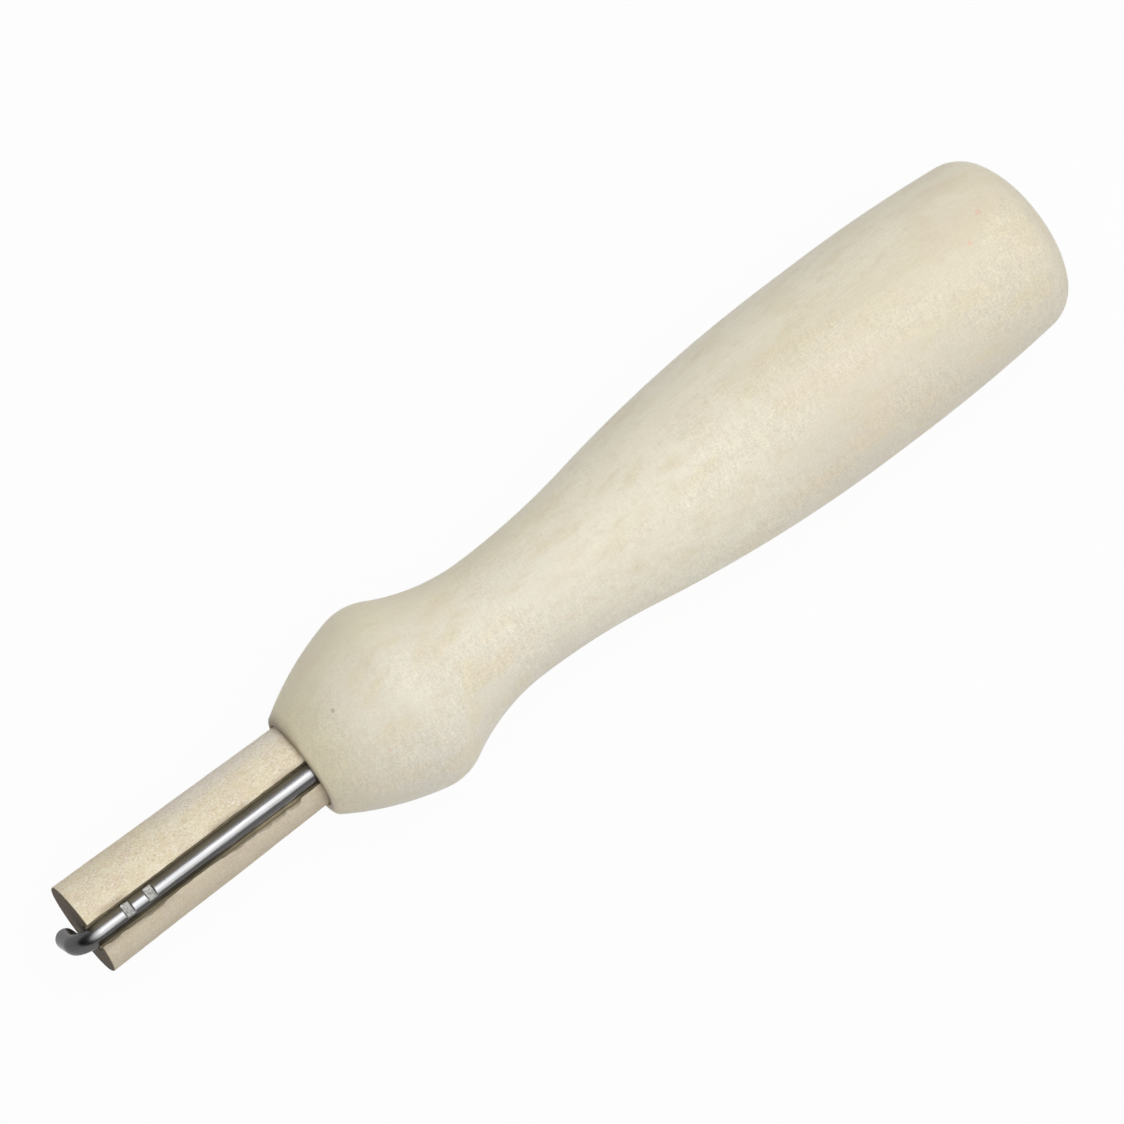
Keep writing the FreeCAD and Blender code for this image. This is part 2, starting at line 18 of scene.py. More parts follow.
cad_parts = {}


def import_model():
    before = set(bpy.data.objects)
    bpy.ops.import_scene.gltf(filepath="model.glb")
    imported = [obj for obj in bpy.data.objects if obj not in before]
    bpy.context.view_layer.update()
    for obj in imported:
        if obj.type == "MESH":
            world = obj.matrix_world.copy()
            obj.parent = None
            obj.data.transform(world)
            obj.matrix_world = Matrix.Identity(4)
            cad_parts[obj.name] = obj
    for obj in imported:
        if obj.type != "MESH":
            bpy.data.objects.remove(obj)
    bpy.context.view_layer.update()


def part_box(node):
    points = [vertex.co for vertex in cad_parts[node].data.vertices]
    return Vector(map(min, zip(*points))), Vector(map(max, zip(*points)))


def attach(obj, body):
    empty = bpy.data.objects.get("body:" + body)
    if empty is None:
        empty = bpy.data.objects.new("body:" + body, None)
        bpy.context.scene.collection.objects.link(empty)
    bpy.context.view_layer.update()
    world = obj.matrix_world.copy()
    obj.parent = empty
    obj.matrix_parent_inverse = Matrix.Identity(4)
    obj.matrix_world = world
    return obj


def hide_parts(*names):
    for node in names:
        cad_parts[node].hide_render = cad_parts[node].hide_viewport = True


LOG = logging.getLogger("needle_holder")
MM = 0.001
WELD_GAP = 0.0002 * MM

Array = np.ndarray
Colour = tuple[float, float, float]
Socket = bpy.types.NodeSocket
Term = Socket | float | tuple
Layer = tuple[float, tuple[float, float, float], int]


class SlotSide(Enum):
    """The two long edges of the plug's slot, by their side of its middle."""

    LOW = 1
    HIGH = -1


class Mask(Enum):
    """Numbers that a mesh carries at each point, for its material to read."""

    CUT = "cut"
    # Darkening: stain and painted shade round the handle's mouth; grey slot edges and a painted shadow
    # ring on the plug; painted dark reflection and notch shade on the needle.
    SOIL_AND_SHADE = "soil"
    # Darkened ends: painted shade on the plug's end grain and rims; blued tone and painted dark
    # reflection on the needle's bend and crank.
    TINT_AND_SHADE = "tint"
    STRAIGHT = "straight"


@dataclass(frozen=True)
class Zone:
    """Where something comes in along one axis, in millimetres, and how strong it is there."""

    axis: str
    start: float
    full: float
    most: float = 1.0
    least: float = 0.0


@dataclass(frozen=True)
class Patches:
    """Soft areas drawn out along X: width in millimetres, length over width, and noise values."""

    size: float
    stretch: float
    low: float
    high: float
    strength: float = 1.0


# ---------------------------------------------------------------- number work


def shade(red: int, green: int, blue: int) -> Colour:
    """Turns a display colour into the linear one that shaders take.

    Each channel c, from 0 to 1, becomes ((c + 0.055) / 1.055) ** 2.4, or c / 12.92 near black.

    Args:
        red, green, blue: display levels, 0 to 255.

    Returns:
        The linear colour.
    """
    levels = np.array([red, green, blue]) / 255
    linear = np.where(levels > 0.04045, ((levels + 0.055) / 1.055) ** 2.4, levels / 12.92)
    return tuple(float(level) for level in linear)


def ease(values: Array, low: float, high: float) -> Array:
    """Goes smoothly from 0 at low to 1 at high: 3 t squared minus 2 t cubed.

    Args:
        values: numbers to ease.
        low: where the result is 0.
        high: where the result is 1. It may be under low.

    Returns:
        Numbers from 0 to 1.
    """
    share = np.clip((values - low) / (high - low), 0, 1)
    return share * share * (3 - 2 * share)


def cell_value(cells: Array, seed: int) -> Array:
    """Gives each whole-number cell its own steady value.

    The three coordinates are multiplied by large odd numbers and added, and the sum's bits are
    mixed by shifts and one more product.

    Args:
        cells: whole numbers, three in the last axis.
        seed: picks another set of values.

    Returns:
        Numbers from 0 to 1, one per cell.
    """
    weights = np.array([73856093, 19349663, 83492791], dtype=np.int64)
    mixed = (cells.astype(np.int64) * weights).sum(axis=-1) + seed * 2654435761
    mixed &= 0xFFFFFFFF
    mixed ^= mixed >> 15
    mixed = (mixed * 1274126177) & 0xFFFFFFFF
    mixed ^= mixed >> 13
    mixed = (mixed * 1103515245) & 0xFFFFFFFF
    mixed ^= mixed >> 16
    return (mixed & 0xFFFFFF) / float(0xFFFFFF)


def swell(points: Array, cell: tuple[float, float, float], seed: int) -> Array:
    """Smooth random relief through space.

    Each corner of a box of cells has its own value, and a point takes the mean of the eight
    corners round it, weighted by its eased distance from each.

    Args:
        points: places in millimetres, three in the last axis.
        cell: size of a cell along X, Y and Z, in millimetres.
        seed: picks another relief.

    Returns:
        Numbers from 0 to 1, one per point.
    """
    scaled = points / np.array(cell)
    base = np.floor(scaled)
    share = scaled - base
    share = share * share * (3 - 2 * share)
    total = np.zeros(points.shape[:-1])
    for corner in np.ndindex(2, 2, 2):
        weight = np.where(corner, share, 1 - share).prod(axis=-1)
        total += weight * cell_value(base + np.array(corner), seed)
    return total


def layered(points: Array, layers: tuple[Layer, ...], base: float = 0.0) -> Array:
    """Adds layers of relief to a base depth: the sum of depth times swell.

    Args:
        points: places in millimetres, three in the last axis.
        layers: for each layer, its depth, its cell and its seed.
        base: depth under them all.

    Returns:
        Depths, one per point.
    """
    return sum((depth * swell(points, cell, seed) for depth, cell, seed in layers), base)


def arc_points(centre: tuple[float, float], radius: float, start: float, end: float,
               step: float) -> Array:
    """Points along an arc, evenly spaced: centre plus radius times (cosine, sine).

    Args:
        centre: the arc's centre.
        radius: its radius.
        start: angle of the first point, in radians.
        end: angle of the last point, in radians.
        step: longest distance from one point to the next.

    Returns:
        Points, two numbers each, both ends included.
    """
    sweep = abs(end - start)
    count = max(math.ceil(sweep * radius / step), math.ceil(sweep / math.radians(6)), 1)
    angles = np.linspace(start, end, count + 1)
    return np.stack([centre[0] + radius * np.cos(angles), centre[1] + radius * np.sin(angles)], -1)


def apart_from(first: tuple[float, float], first_gap: float, second: tuple[float, float],
               second_gap: float) -> tuple[float, float]:
    """The point at given distances from two others, on the left of the line from first to second.

    With d between the two, it is a = (first_gap^2 - second_gap^2 + d^2) / 2d along the line and
    the square root of (first_gap^2 - a^2) beside it.

    Args:
        first, second: the two given points.
        first_gap, second_gap: distances from them.

    Returns:
        The point.
    """
    start, end = np.array(first), np.array(second)
    span = float(np.hypot(*(end - start)))
    along = (end - start) / span
    reach = (first_gap**2 - second_gap**2 + span**2) / (2 * span)
    beside = math.sqrt(first_gap**2 - reach**2)
    spot = start + reach * along + beside * np.array([-along[1], along[0]])
    return float(spot[0]), float(spot[1])


def bearing(centre: tuple[float, float], target: tuple[float, float]) -> float:
    """Angle of the direction from centre to target, in radians."""
    return math.atan2(target[1] - centre[1], target[0] - centre[0])


# ---------------------------------------------------------------- mesh work


def quads(numbers: Array) -> Array:
    """Faces of a grid: (i, j) with (i + 1, j), (i + 1, j + 1) and (i, j + 1).

    Args:
        numbers: number of each point, shaped rows, columns.

    Returns:
        Four numbers per face.
    """
    faces = np.stack([numbers[:-1, :-1], numbers[1:, :-1], numbers[1:, 1:], numbers[:-1, 1:]], -1)
    return faces.reshape(-1, 4)


def put(name: str, data: bpy.types.ID) -> bpy.types.Object:
    """Puts an object with the given data into the scene.

    Args:
        name: the object's name.
        data: its mesh, lamp or camera.

    Returns:
        The object.
    """
    made = bpy.data.objects.new(name, data)
    bpy.context.scene.collection.objects.link(made)
    return made


class Skin:
    """Grids of points that are gathered, welded and turned outwards as one closed mesh."""

    def __init__(self, name: str) -> None:
        """Starts an empty skin.

        Args:
            name: name of the piece.
        """
        self.name = name
        self.points: list[Array] = []
        self.faces: list[Array] = []
        self.masks: dict[Mask, list[Array]] = {}
        self.total = 0

    def add(self, grid: Array, wrap: bool, masks: dict[Mask, Array]) -> None:
        """Adds a grid's points and the quads between them.

        Args:
            grid: points in millimetres, shaped rows, columns, 3.
            wrap: True where the last column joins the first.
            masks: for each mask, one number or vector per point.
        """
        rows, columns = grid.shape[:2]
        numbers = np.arange(rows * columns).reshape(rows, columns) + self.total
        if wrap:
            numbers = np.concatenate([numbers, numbers[:, :1]], axis=1)
        self.faces.append(quads(numbers))
        self.points.append(grid.reshape(-1, 3) * MM)
        for mask, values in masks.items():
            self.masks.setdefault(mask, []).append(values.reshape(rows * columns, -1))
        self.total += rows * columns

    def build(self, crease: float) -> bpy.types.Object:
        """Makes the mesh object, closes its seams and poles, and turns its faces outwards.

        Args:
            crease: edges sharper than this angle, in degrees, are shaded sharp.

        Returns:
            The object, linked into the scene.
        """
        mesh = bpy.data.meshes.new(self.name)
        points, faces = np.concatenate(self.points), np.concatenate(self.faces)
        mesh.from_pydata(points.tolist(), [], faces.tolist())
        for mask, parts in self.masks.items():
            values = np.concatenate(parts)
            wide = values.shape[1] == 3
            layer = mesh.attributes.new(mask.value, "FLOAT_VECTOR" if wide else "FLOAT", "POINT")
            layer.data.foreach_set("vector" if wide else "value", values.ravel())
        shell = bmesh.new()
        shell.from_mesh(mesh)
        bmesh.ops.remove_doubles(shell, verts=shell.verts, dist=WELD_GAP)
        bmesh.ops.recalc_face_normals(shell, faces=shell.faces)
        shell.to_mesh(mesh)
        shell.free()
        mesh.shade_smooth()
        mesh.set_sharp_from_angle(angle=math.radians(crease))
        LOG.info("%s: %d points, %d faces", self.name, len(mesh.vertices), len(mesh.polygons))
        return put(self.name, mesh)


# ---------------------------------------------------------------- node work


class Bench:
    """A shader node tree while it is wired, with a short call for each kind of node used."""

    def __init__(self, tree: bpy.types.NodeTree) -> None:
        """Takes the tree to wire.

        Args:
            tree: a material's or a group's node tree.
        """
        self.tree = tree

    def node(self, kind: str, terms: dict[str | int, Term] | None = None,
             **settings: object) -> bpy.types.Node:
        """Adds a node.

        Args:
            kind: Blender's name of the node type.
            terms: values or sockets for its inputs, by name or number.
            settings: its other properties.

        Returns:
            The node.
        """
        made = self.tree.nodes.new(kind)
        for name, setting in settings.items():
            setattr(made, name, setting)
        for name, term in (terms or {}).items():
            self.feed(made.inputs[name], term)
        return made

    def feed(self, target: Socket, term: Term) -> None:
        """Links a socket to an input, or sets the input's own value.

        Args:
            target: the input.
            term: another node's output, or a value.
        """
        if isinstance(term, bpy.types.NodeSocket):
            self.tree.links.new(term, target)
        elif isinstance(term, tuple) and target.type == "RGBA":
            target.default_value = (*term[:3], 1.0)
        else:
            target.default_value = term

    def math(self, operation: str, *terms: Term) -> Socket:
        """Output of a Math node on the given terms."""
        return self.node("ShaderNodeMath", dict(enumerate(terms)), operation=operation).outputs[0]

    def times(self, first: Term, second: Term) -> Socket:
        """Product of two terms."""
        return self.math("MULTIPLY", first, second)

    def plus(self, first: Term, second: Term) -> Socket:
        """Sum of two terms."""
        return self.math("ADD", first, second)

    def ramp(self, value: Term, low: float, high: float, start: float = 0.0,
             end: float = 1.0) -> Socket:
        """Eases a value from start at low to end at high, and holds it outside.

        Args:
            value: what is eased.
            low, high: the range that it moves in.
            start, end: the results at the two ends.

        Returns:
            The result's socket.
        """
        terms = {"Value": value, "From Min": low, "From Max": high, "To Min": start, "To Max": end}
        made = self.node("ShaderNodeMapRange", terms, interpolation_type="SMOOTHSTEP", clamp=True)
        return made.outputs["Result"]

    def zone(self, side: bpy.types.Node, zone: Zone) -> Socket:
        """Strength of a zone at the shaded point.

        Args:
            side: the position's separate coordinates.
            zone: the zone.

        Returns:
            The strength, from the zone's least to its most.
        """
        return self.ramp(side.outputs[zone.axis], zone.start * MM, zone.full * MM,
                         zone.least, zone.most)

    def stretch(self, vector: Socket, cells: tuple[float, float, float],
                shift: tuple[float, float, float] = (0.0, 0.0, 0.0),
                turn: tuple[float, float, float] = (0.0, 0.0, 0.0)) -> Socket:
        """Scales a position, so that one unit is one cell of a pattern.

        Args:
            vector: a position in metres.
            cells: a cell's size along X, Y and Z, in millimetres.
            shift: moves the pattern, in cells.
            turn: turns the pattern, in degrees.

        Returns:
            The scaled position.
        """
        scale = tuple(1 / (MM * cell) for cell in cells)
        turned = self.node("ShaderNodeMapping", {"Vector": vector}, vector_type="POINT")
        turned.inputs["Rotation"].default_value = tuple(math.radians(angle) for angle in turn)
        made = self.node("ShaderNodeMapping", {"Vector": turned.outputs[0]}, vector_type="POINT")
        made.inputs["Scale"].default_value = scale
        made.inputs["Location"].default_value = shift
        return made.outputs[0]

    def noise(self, vector: Socket, detail: float = 2.0, roughness: float = 0.5,
              distortion: float = 0.0) -> Socket:
        """Value of a noise whose cells are one unit of the given position.

        Args:
            vector: the scaled position.
            detail: how many finer layers are added.
            roughness: how strong they are.
            distortion: how far the pattern is pulled about.

        Returns:
            The noise's value, about 0.2 to 0.8.
        """
        terms = {"Vector": vector, "Scale": 1.0, "Detail": detail, "Roughness": roughness,
                 "Distortion": distortion}
        return self.node("ShaderNodeTexNoise", terms, noise_dimensions="3D").outputs["Fac"]

    def blend(self, factor: Term, first: Term, second: Term) -> Socket:
        """Mixes two colours.

        Args:
            factor: share of the second colour.
            first, second: colours.

        Returns:
            The mixed colour.
        """
        made = self.node("ShaderNodeMix", data_type="RGBA", blend_type="MIX", clamp_factor=True)
        self.feed(made.inputs["Factor"], factor)
        ends = [socket for socket in made.inputs if socket.type == "RGBA"]
        for end, colour in zip(ends, (first, second)):
            self.feed(end, colour)
        return [socket for socket in made.outputs if socket.type == "RGBA"][0]

    def in_cells(self, place: Term, along: Term, around: Term) -> Socket:
        """Divides a position by a cell's size, which is given along X and across it.

        Args:
            place: the position.
            along: the cell's size along X, in metres.
            around: its size along Y and Z.

        Returns:
            The position, in cells.
        """
        cell = self.node("ShaderNodeCombineXYZ", {"X": along, "Y": around, "Z": around})
        terms = {0: place, 1: cell.outputs[0]}
        return self.node("ShaderNodeVectorMath", terms, operation="DIVIDE").outputs[0]

    def tone(self, colour: Term, factor: Term) -> Socket:
        """Makes a colour lighter or darker, by a factor near 1."""
        made = self.node("ShaderNodeVectorMath", {0: colour, "Scale": factor}, operation="SCALE")
        return made.outputs[0]

    def swing(self, value: Socket, strength: Term) -> Socket:
        """How far a noise is from its middle value, times a strength."""
        return self.times(self.math("SUBTRACT", value, 0.5), strength)

    def place(self) -> Socket:
        """Position of the shaded point in the object's own coordinates."""
        return self.node("ShaderNodeTexCoord").outputs["Object"]

    def mask(self, mask: Mask) -> Socket:
        """A number that the mesh carries."""
        return self.node("ShaderNodeAttribute", attribute_name=mask.value).outputs["Fac"]

    def use(self, group: bpy.types.NodeTree, terms: dict[str, Term]) -> bpy.types.Node:
        """Places a node group.

        Args:
            group: the group's tree.
            terms: values or sockets for its inputs.

        Returns:
            The group's node.
        """
        made = self.node("ShaderNodeGroup", node_tree=group)
        for name, term in terms.items():
            self.feed(made.inputs[name], term)
        return made


class Effect(Enum):
    """Surface effects that more than one finish uses, each one node group."""

    FIBRES = "wood_fibres"
    PATCHES = "soft_patches"
    SPARKLE = "fine_sparkle"


INPUT_TYPES = {"Position": "NodeSocketVector"}


@dataclass(frozen=True)
class EffectLibrary:
    """Makes each shared effect once and hands it to the finishes."""

    made: dict[Effect, bpy.types.NodeTree] = field(default_factory=dict)

    def get(self, effect: Effect) -> bpy.types.NodeTree:
        """The node group of an effect, made on its first use."""
        if effect not in self.made:
            makers = {Effect.FIBRES: self.fibres, Effect.PATCHES: self.patches,
                      Effect.SPARKLE: self.sparkle}
            self.made[effect] = makers[effect]()
        return self.made[effect]

    def start(self, effect: Effect, inputs: dict[str, float | tuple],
              outputs: tuple[str, ...]) -> tuple[Bench, bpy.types.Node, bpy.types.Node]:
        """Makes an empty group with its sockets.

        Args:
            effect: the effect.
            inputs: input names with their starting values.
            outputs: names of its outputs, all plain numbers.

        Returns:
            The bench, and the group's input and output nodes.
        """
        tree = bpy.data.node_groups.new(effect.value, "ShaderNodeTree")
        for name, value in inputs.items():
            kind = INPUT_TYPES.get(name, "NodeSocketFloat")
            socket = tree.interface.new_socket(name=name, in_out="INPUT", socket_type=kind)
            socket.default_value = value
        for name in outputs:
            tree.interface.new_socket(name=name, in_out="OUTPUT", socket_type="NodeSocketFloat")
        bench = Bench(tree)
        return bench, bench.node("NodeGroupInput"), bench.node("NodeGroupOutput")

    def fibres(self) -> bpy.types.NodeTree:
        """Wood fibres and pores that run along X: two noises drawn out along the grain.

        Returns:
            The group, whose outputs are Tone, from 0 to 1, and Height.
        """
        bench, given, result = self.start(
            Effect.FIBRES,
            {"Position": (0.0, 0.0, 0.0), "Length": 3.0, "Width": 0.25, "Pores": 0.3},
            ("Tone", "Height"))
        around = bench.times(given.outputs["Width"], MM)
        along = bench.times(given.outputs["Length"], MM)
        scaled = bench.in_cells(given.outputs["Position"], along, around)
        strands = bench.noise(scaled, detail=3.0, roughness=0.6, distortion=0.15)
        moved = bench.node("ShaderNodeVectorMath", {0: scaled, 1: (7.3, 2.1, 5.7)},
                           operation="ADD")
        dashes = bench.noise(moved.outputs[0], detail=1.0)
        pores = bench.ramp(dashes, 0.62, 0.74)
        depth = bench.times(pores, given.outputs["Pores"])
        tone = bench.math("SUBTRACT", bench.ramp(strands, 0.3, 0.7), depth)
        bench.feed(result.inputs["Tone"], bench.math("MAXIMUM", tone, 0.0))
        bench.feed(result.inputs["Height"], tone)
        return bench.tree

    def patches(self) -> bpy.types.NodeTree:
        """Broad soft areas of another tone, drawn out along X.

        Returns:
            The group, whose output is Mask, from 0 to 1.
        """
        bench, given, result = self.start(
            Effect.PATCHES,
            {"Position": (0.0, 0.0, 0.0), "Size": 6.0, "Stretch": 3.0, "Low": 0.42, "High": 0.62},
            ("Mask",))
        around = bench.times(given.outputs["Size"], MM)
        along = bench.times(around, given.outputs["Stretch"])
        scaled = bench.in_cells(given.outputs["Position"], along, around)
        value = bench.noise(scaled, detail=2.0, roughness=0.55, distortion=0.3)
        mask = bench.node("ShaderNodeMapRange",
                          {"Value": value, "From Min": given.outputs["Low"],
                           "From Max": given.outputs["High"]},
                          interpolation_type="SMOOTHSTEP", clamp=True)
        bench.feed(result.inputs["Mask"], mask.outputs["Result"])
        return bench.tree

    def sparkle(self) -> bpy.types.NodeTree:
        """Small pale and dark grains with no direction, as on raw or scratched surfaces.

        Returns:
            The group, whose outputs are Pale, Dark and Height.
        """
        bench, given, result = self.start(
            Effect.SPARKLE, {"Position": (0.0, 0.0, 0.0), "Grain": 0.2}, ("Pale", "Dark", "Height"))
        around = bench.times(given.outputs["Grain"], MM)
        along = bench.times(around, 1.15)
        scaled = bench.in_cells(given.outputs["Position"], along, around)
        value = bench.noise(scaled, detail=1.0, roughness=0.5)
        bench.feed(result.inputs["Pale"], bench.ramp(value, 0.56, 0.72))
        bench.feed(result.inputs["Dark"], bench.ramp(value, 0.44, 0.28))
        bench.feed(result.inputs["Height"], value)
        return bench.tree


# ---------------------------------------------------------------- finishes


@dataclass(frozen=True)
class Finish:
    """What every finish shares: its name, and the effects that it draws on."""

    name: str
    effects: EffectLibrary
    bump_strength: float = 0.0
    bump_height: float = 0.0

    def start(self) -> tuple[Bench, bpy.types.Node, bpy.types.Material]:
        """Makes an empty material with a principled shader.

        Returns:
            The bench, the shader node and the material.
        """
        made = bpy.data.materials.new(self.name)
        made.use_nodes = True
        made.node_tree.nodes.clear()
        bench = Bench(made.node_tree)
        shader = bench.node("ShaderNodeBsdfPrincipled")
        bench.node("ShaderNodeOutputMaterial", {"Surface": shader.outputs[0]})
        return bench, shader, made

    def patches(self, bench: Bench, place: Socket, patches: Patches) -> Socket:
        """Soft areas of another tone.

        Args:
            bench: the material's bench.
            place: the position.
            patches: what the areas are like.

        Returns:
            How much of the other tone there is, from 0 to the areas' strength.
        """
        terms = {"Position": place, "Size": patches.size, "Stretch": patches.stretch,
                 "Low": patches.low, "High": patches.high}
        mask = bench.use(self.effects.get(Effect.PATCHES), terms).outputs["Mask"]
        return mask if patches.strength == 1.0 else bench.times(mask, patches.strength)

    def fibres(self, bench: Bench, place: Socket, length: float, width: float,
               pores: float) -> bpy.types.Node:
        """Fibres along X.

        Args:
            bench: the material's bench.
            place: the position.
            length, width: a fibre's size, in millimetres.
            pores: how deep the pores are.

        Returns:
            The effect's node, with Tone and Height.
        """
        terms = {"Position": place, "Length": length, "Width": width, "Pores": pores}
        return bench.use(self.effects.get(Effect.FIBRES), terms)

    def raise_relief(self, bench: Bench, shader: bpy.types.Node, height: Socket) -> None:
        """Turns a height into the shader's normal.

        Args:
            bench: the material's bench.
            shader: the principled shader.
            height: the relief's height.
        """
        bump = bench.node("ShaderNodeBump", {"Strength": self.bump_strength, "Height": height,
                                             "Distance": self.bump_height * MM})
        bench.feed(shader.inputs["Normal"], bump.outputs[0])


@dataclass(frozen=True)
class SandedMaple(Finish):
    """Pale close-grained wood, turned and sanded, under a thin satin seal."""

    pale: Colour = shade(239, 232, 213)
    streak: Colour = shade(223, 212, 180)
    warm: Colour = shade(236, 224, 193)
    cool: Colour = shade(229, 223, 210)
    pink: Colour = shade(237, 221, 200)
    tan_and_shade: Colour = shade(209, 198, 156)
    honey: Colour = shade(236, 228, 193)
    # Painted highlight on the waist and the upper side.
    painted_highlight: Colour = shade(250, 244, 222)
    # Stain and painted shade round the mouth, where the plug meets the lip.
    soil: Colour = shade(104, 76, 54)
    bare: Colour = shade(176, 154, 122)
    speck: Colour = shade(140, 116, 84)
    blush: Colour = shade(240, 205, 180)
    bump_strength: float = 0.25
    bump_height: float = 0.06
    gloss: float = 0.46
    index: float = 1.45
    coat: float = 0.06
    coat_roughness: float = 0.3
    streaks: Patches = Patches(1.3, 18.0, 0.52, 0.75)
    streaked_side: Zone = Zone("Y", 1.0, -6.0, 0.4, 0.15)
    warm_end: Zone = Zone("X", 0.0, -40.0, 0.5)
    # Painted shade on the bulb's front, which faces the tip, with a yellower tone.
    nose_tan_and_shade: Zone = Zone("X", 19.5, 27.0, 0.62)
    cool_side: Zone = Zone("Y", 1.0, 8.0, 0.4)
    honey_side: Zone = Zone("Y", -1.0, -7.0, 0.6)
    honey_front: Zone = Zone("X", -20.0, 2.0)
    # Where the painted highlight falls: the waist, and the upper side towards the butt.
    highlight_rear: Zone = Zone("X", 4.0, -5.0, 0.55)
    highlight_waist: Zone = Zone("X", -26.0, -14.0)
    highlight_side: Zone = Zone("Y", -1.5, -5.0)

    def material(self) -> bpy.types.Material:
        """Wires the wood's figure, its few marks, the stain and painted shade round the mouth, and its
        seal.

        Returns:
            The material.
        """
        bench, shader, made = self.start()
        place = bench.place()
        figure = self.figure(bench, place)
        marked = self.marks(bench, place, figure)
        # Stain and painted shade round the mouth.
        soiled_and_shaded = bench.blend(bench.mask(Mask.SOIL_AND_SHADE), marked, self.soil)
        cut = bench.mask(Mask.CUT)
        colour = bench.blend(cut, soiled_and_shaded, self.bare)
        bench.feed(shader.inputs["Base Color"], colour)
        fibres = self.fibres(bench, place, 2.2, 0.16, 0.5)
        rough = bench.ramp(fibres.outputs["Tone"], 0.0, 1.0, self.gloss + 0.08, self.gloss - 0.04)
        bench.feed(shader.inputs["Roughness"], bench.math("MAXIMUM", rough, cut))
        self.raise_relief(bench, shader, fibres.outputs["Height"])
        shader.inputs["Coat Weight"].default_value = self.coat
        shader.inputs["Coat Roughness"].default_value = self.coat_roughness
        shader.inputs["IOR"].default_value = self.index
        return made

    def figure(self, bench: Bench, place: Socket) -> Socket:
        """The wood's colour: streaks along it, broad patches and a fine mottle, with painted shade on
        the bulb's front and a painted highlight on the waist and the upper side.

        Args:
            bench: the material's bench.
            place: the object position.

        Returns:
            The colour.
        """
        side = bench.node("ShaderNodeSeparateXYZ", {0: place})
        streaks = bench.times(self.patches(bench, place, self.streaks),
                              bench.zone(side, self.streaked_side))
        colour = bench.blend(streaks, self.pale, self.streak)
        for zone, tint in ((self.warm_end, self.warm), (self.nose_tan_and_shade, self.tan_and_shade),
                           (self.cool_side, self.cool)):
            colour = bench.blend(bench.zone(side, zone), colour, tint)
        honeyed = bench.times(bench.zone(side, self.honey_side), bench.zone(side, self.honey_front))
        colour = bench.blend(honeyed, colour, self.honey)
        rear = bench.zone(side, self.highlight_rear)
        shown = bench.math("MAXIMUM", bench.zone(side, self.highlight_waist),
                           bench.zone(side, self.highlight_side))
        colour = bench.blend(bench.times(rear, shown), colour, self.painted_highlight)
        for patches, tint in ((Patches(2.3, 2.2, 0.46, 0.68, 0.6), self.warm),
                              (Patches(0.7, 2.2, 0.52, 0.74, 0.32), self.pink),
                              (Patches(0.8, 2.2, 0.52, 0.74, 0.28), self.streak),
                              (Patches(4.6, 2.2, 0.5, 0.72, 0.3), self.pink)):
            colour = bench.blend(self.patches(bench, place, patches), colour, tint)
        return bench.tone(colour, self.mottle(bench, place, side))

    def mottle(self, bench: Bench, place: Socket, side: bpy.types.Node) -> Socket:
        """Fine light and dark of the fibres: flecks, threads along the grain, ripples across it.

        Args:
            bench: the material's bench.
            place: the object position.
            side: the position's separate coordinates.

        Returns:
            A factor near 1.
        """
        flecks = bench.noise(bench.stretch(place, (0.2, 0.16, 0.16)), detail=2.0, roughness=0.7,
                             distortion=0.5)
        threads = bench.noise(bench.stretch(place, (2.6, 0.22, 0.22), shift=(1.0, 5.0, 2.0)),
                              detail=2.0, roughness=0.6, distortion=0.2)
        ripples = bench.noise(bench.stretch(place, (0.3, 1.15, 1.15), turn=(0.0, 0.0, 12.0)),
                              detail=1.0, roughness=0.6, distortion=0.8)
        zone = bench.noise(bench.stretch(place, (9.0, 4.5, 4.5), shift=(3.0, 1.0, 4.0)), detail=1.0)
        low_side = bench.ramp(side.outputs["Y"], -0.006, 0.003, 0.35, 1.0)
        rippled = bench.times(bench.ramp(zone, 0.36, 0.6, 0.4, 1.0), low_side)
        flecked = bench.swing(flecks, bench.times(rippled, 0.62))
        swings = bench.plus(flecked, bench.swing(threads, 0.06))
        crossed = bench.swing(ripples, bench.times(rippled, 0.24))
        return bench.plus(bench.plus(swings, crossed), 1.0)

    def marks(self, bench: Bench, place: Socket, colour: Socket) -> Socket:
        """A brown speck and a pink fleck on the bulb, and two pink flecks near the butt.

        Args:
            bench: the material's bench.
            place: the object position.
            colour: the colour under the marks.

        Returns:
            The colour with the marks.
        """
        marks = (
            ((22.14, -1.07, 15.94), 0.28, self.speck, 0.38),
            ((20.35, 4.39, 15.35), 0.24, self.blush, 0.6),
            ((-46.33, -1.63, 17.18), 0.4, self.blush, 0.7),
            ((-44.08, 0.12, 17.54), 0.35, self.blush, 0.6),
        )
        for spot, size, tint, strength in marks:
            centre = tuple(MM * number for number in spot)
            gap = bench.node("ShaderNodeVectorMath", {0: place, 1: centre}, operation="DISTANCE")
            shown = bench.ramp(gap.outputs["Value"], MM * size, MM * size * 0.3, 0.0, strength)
            colour = bench.blend(shown, colour, tint)
        return colour


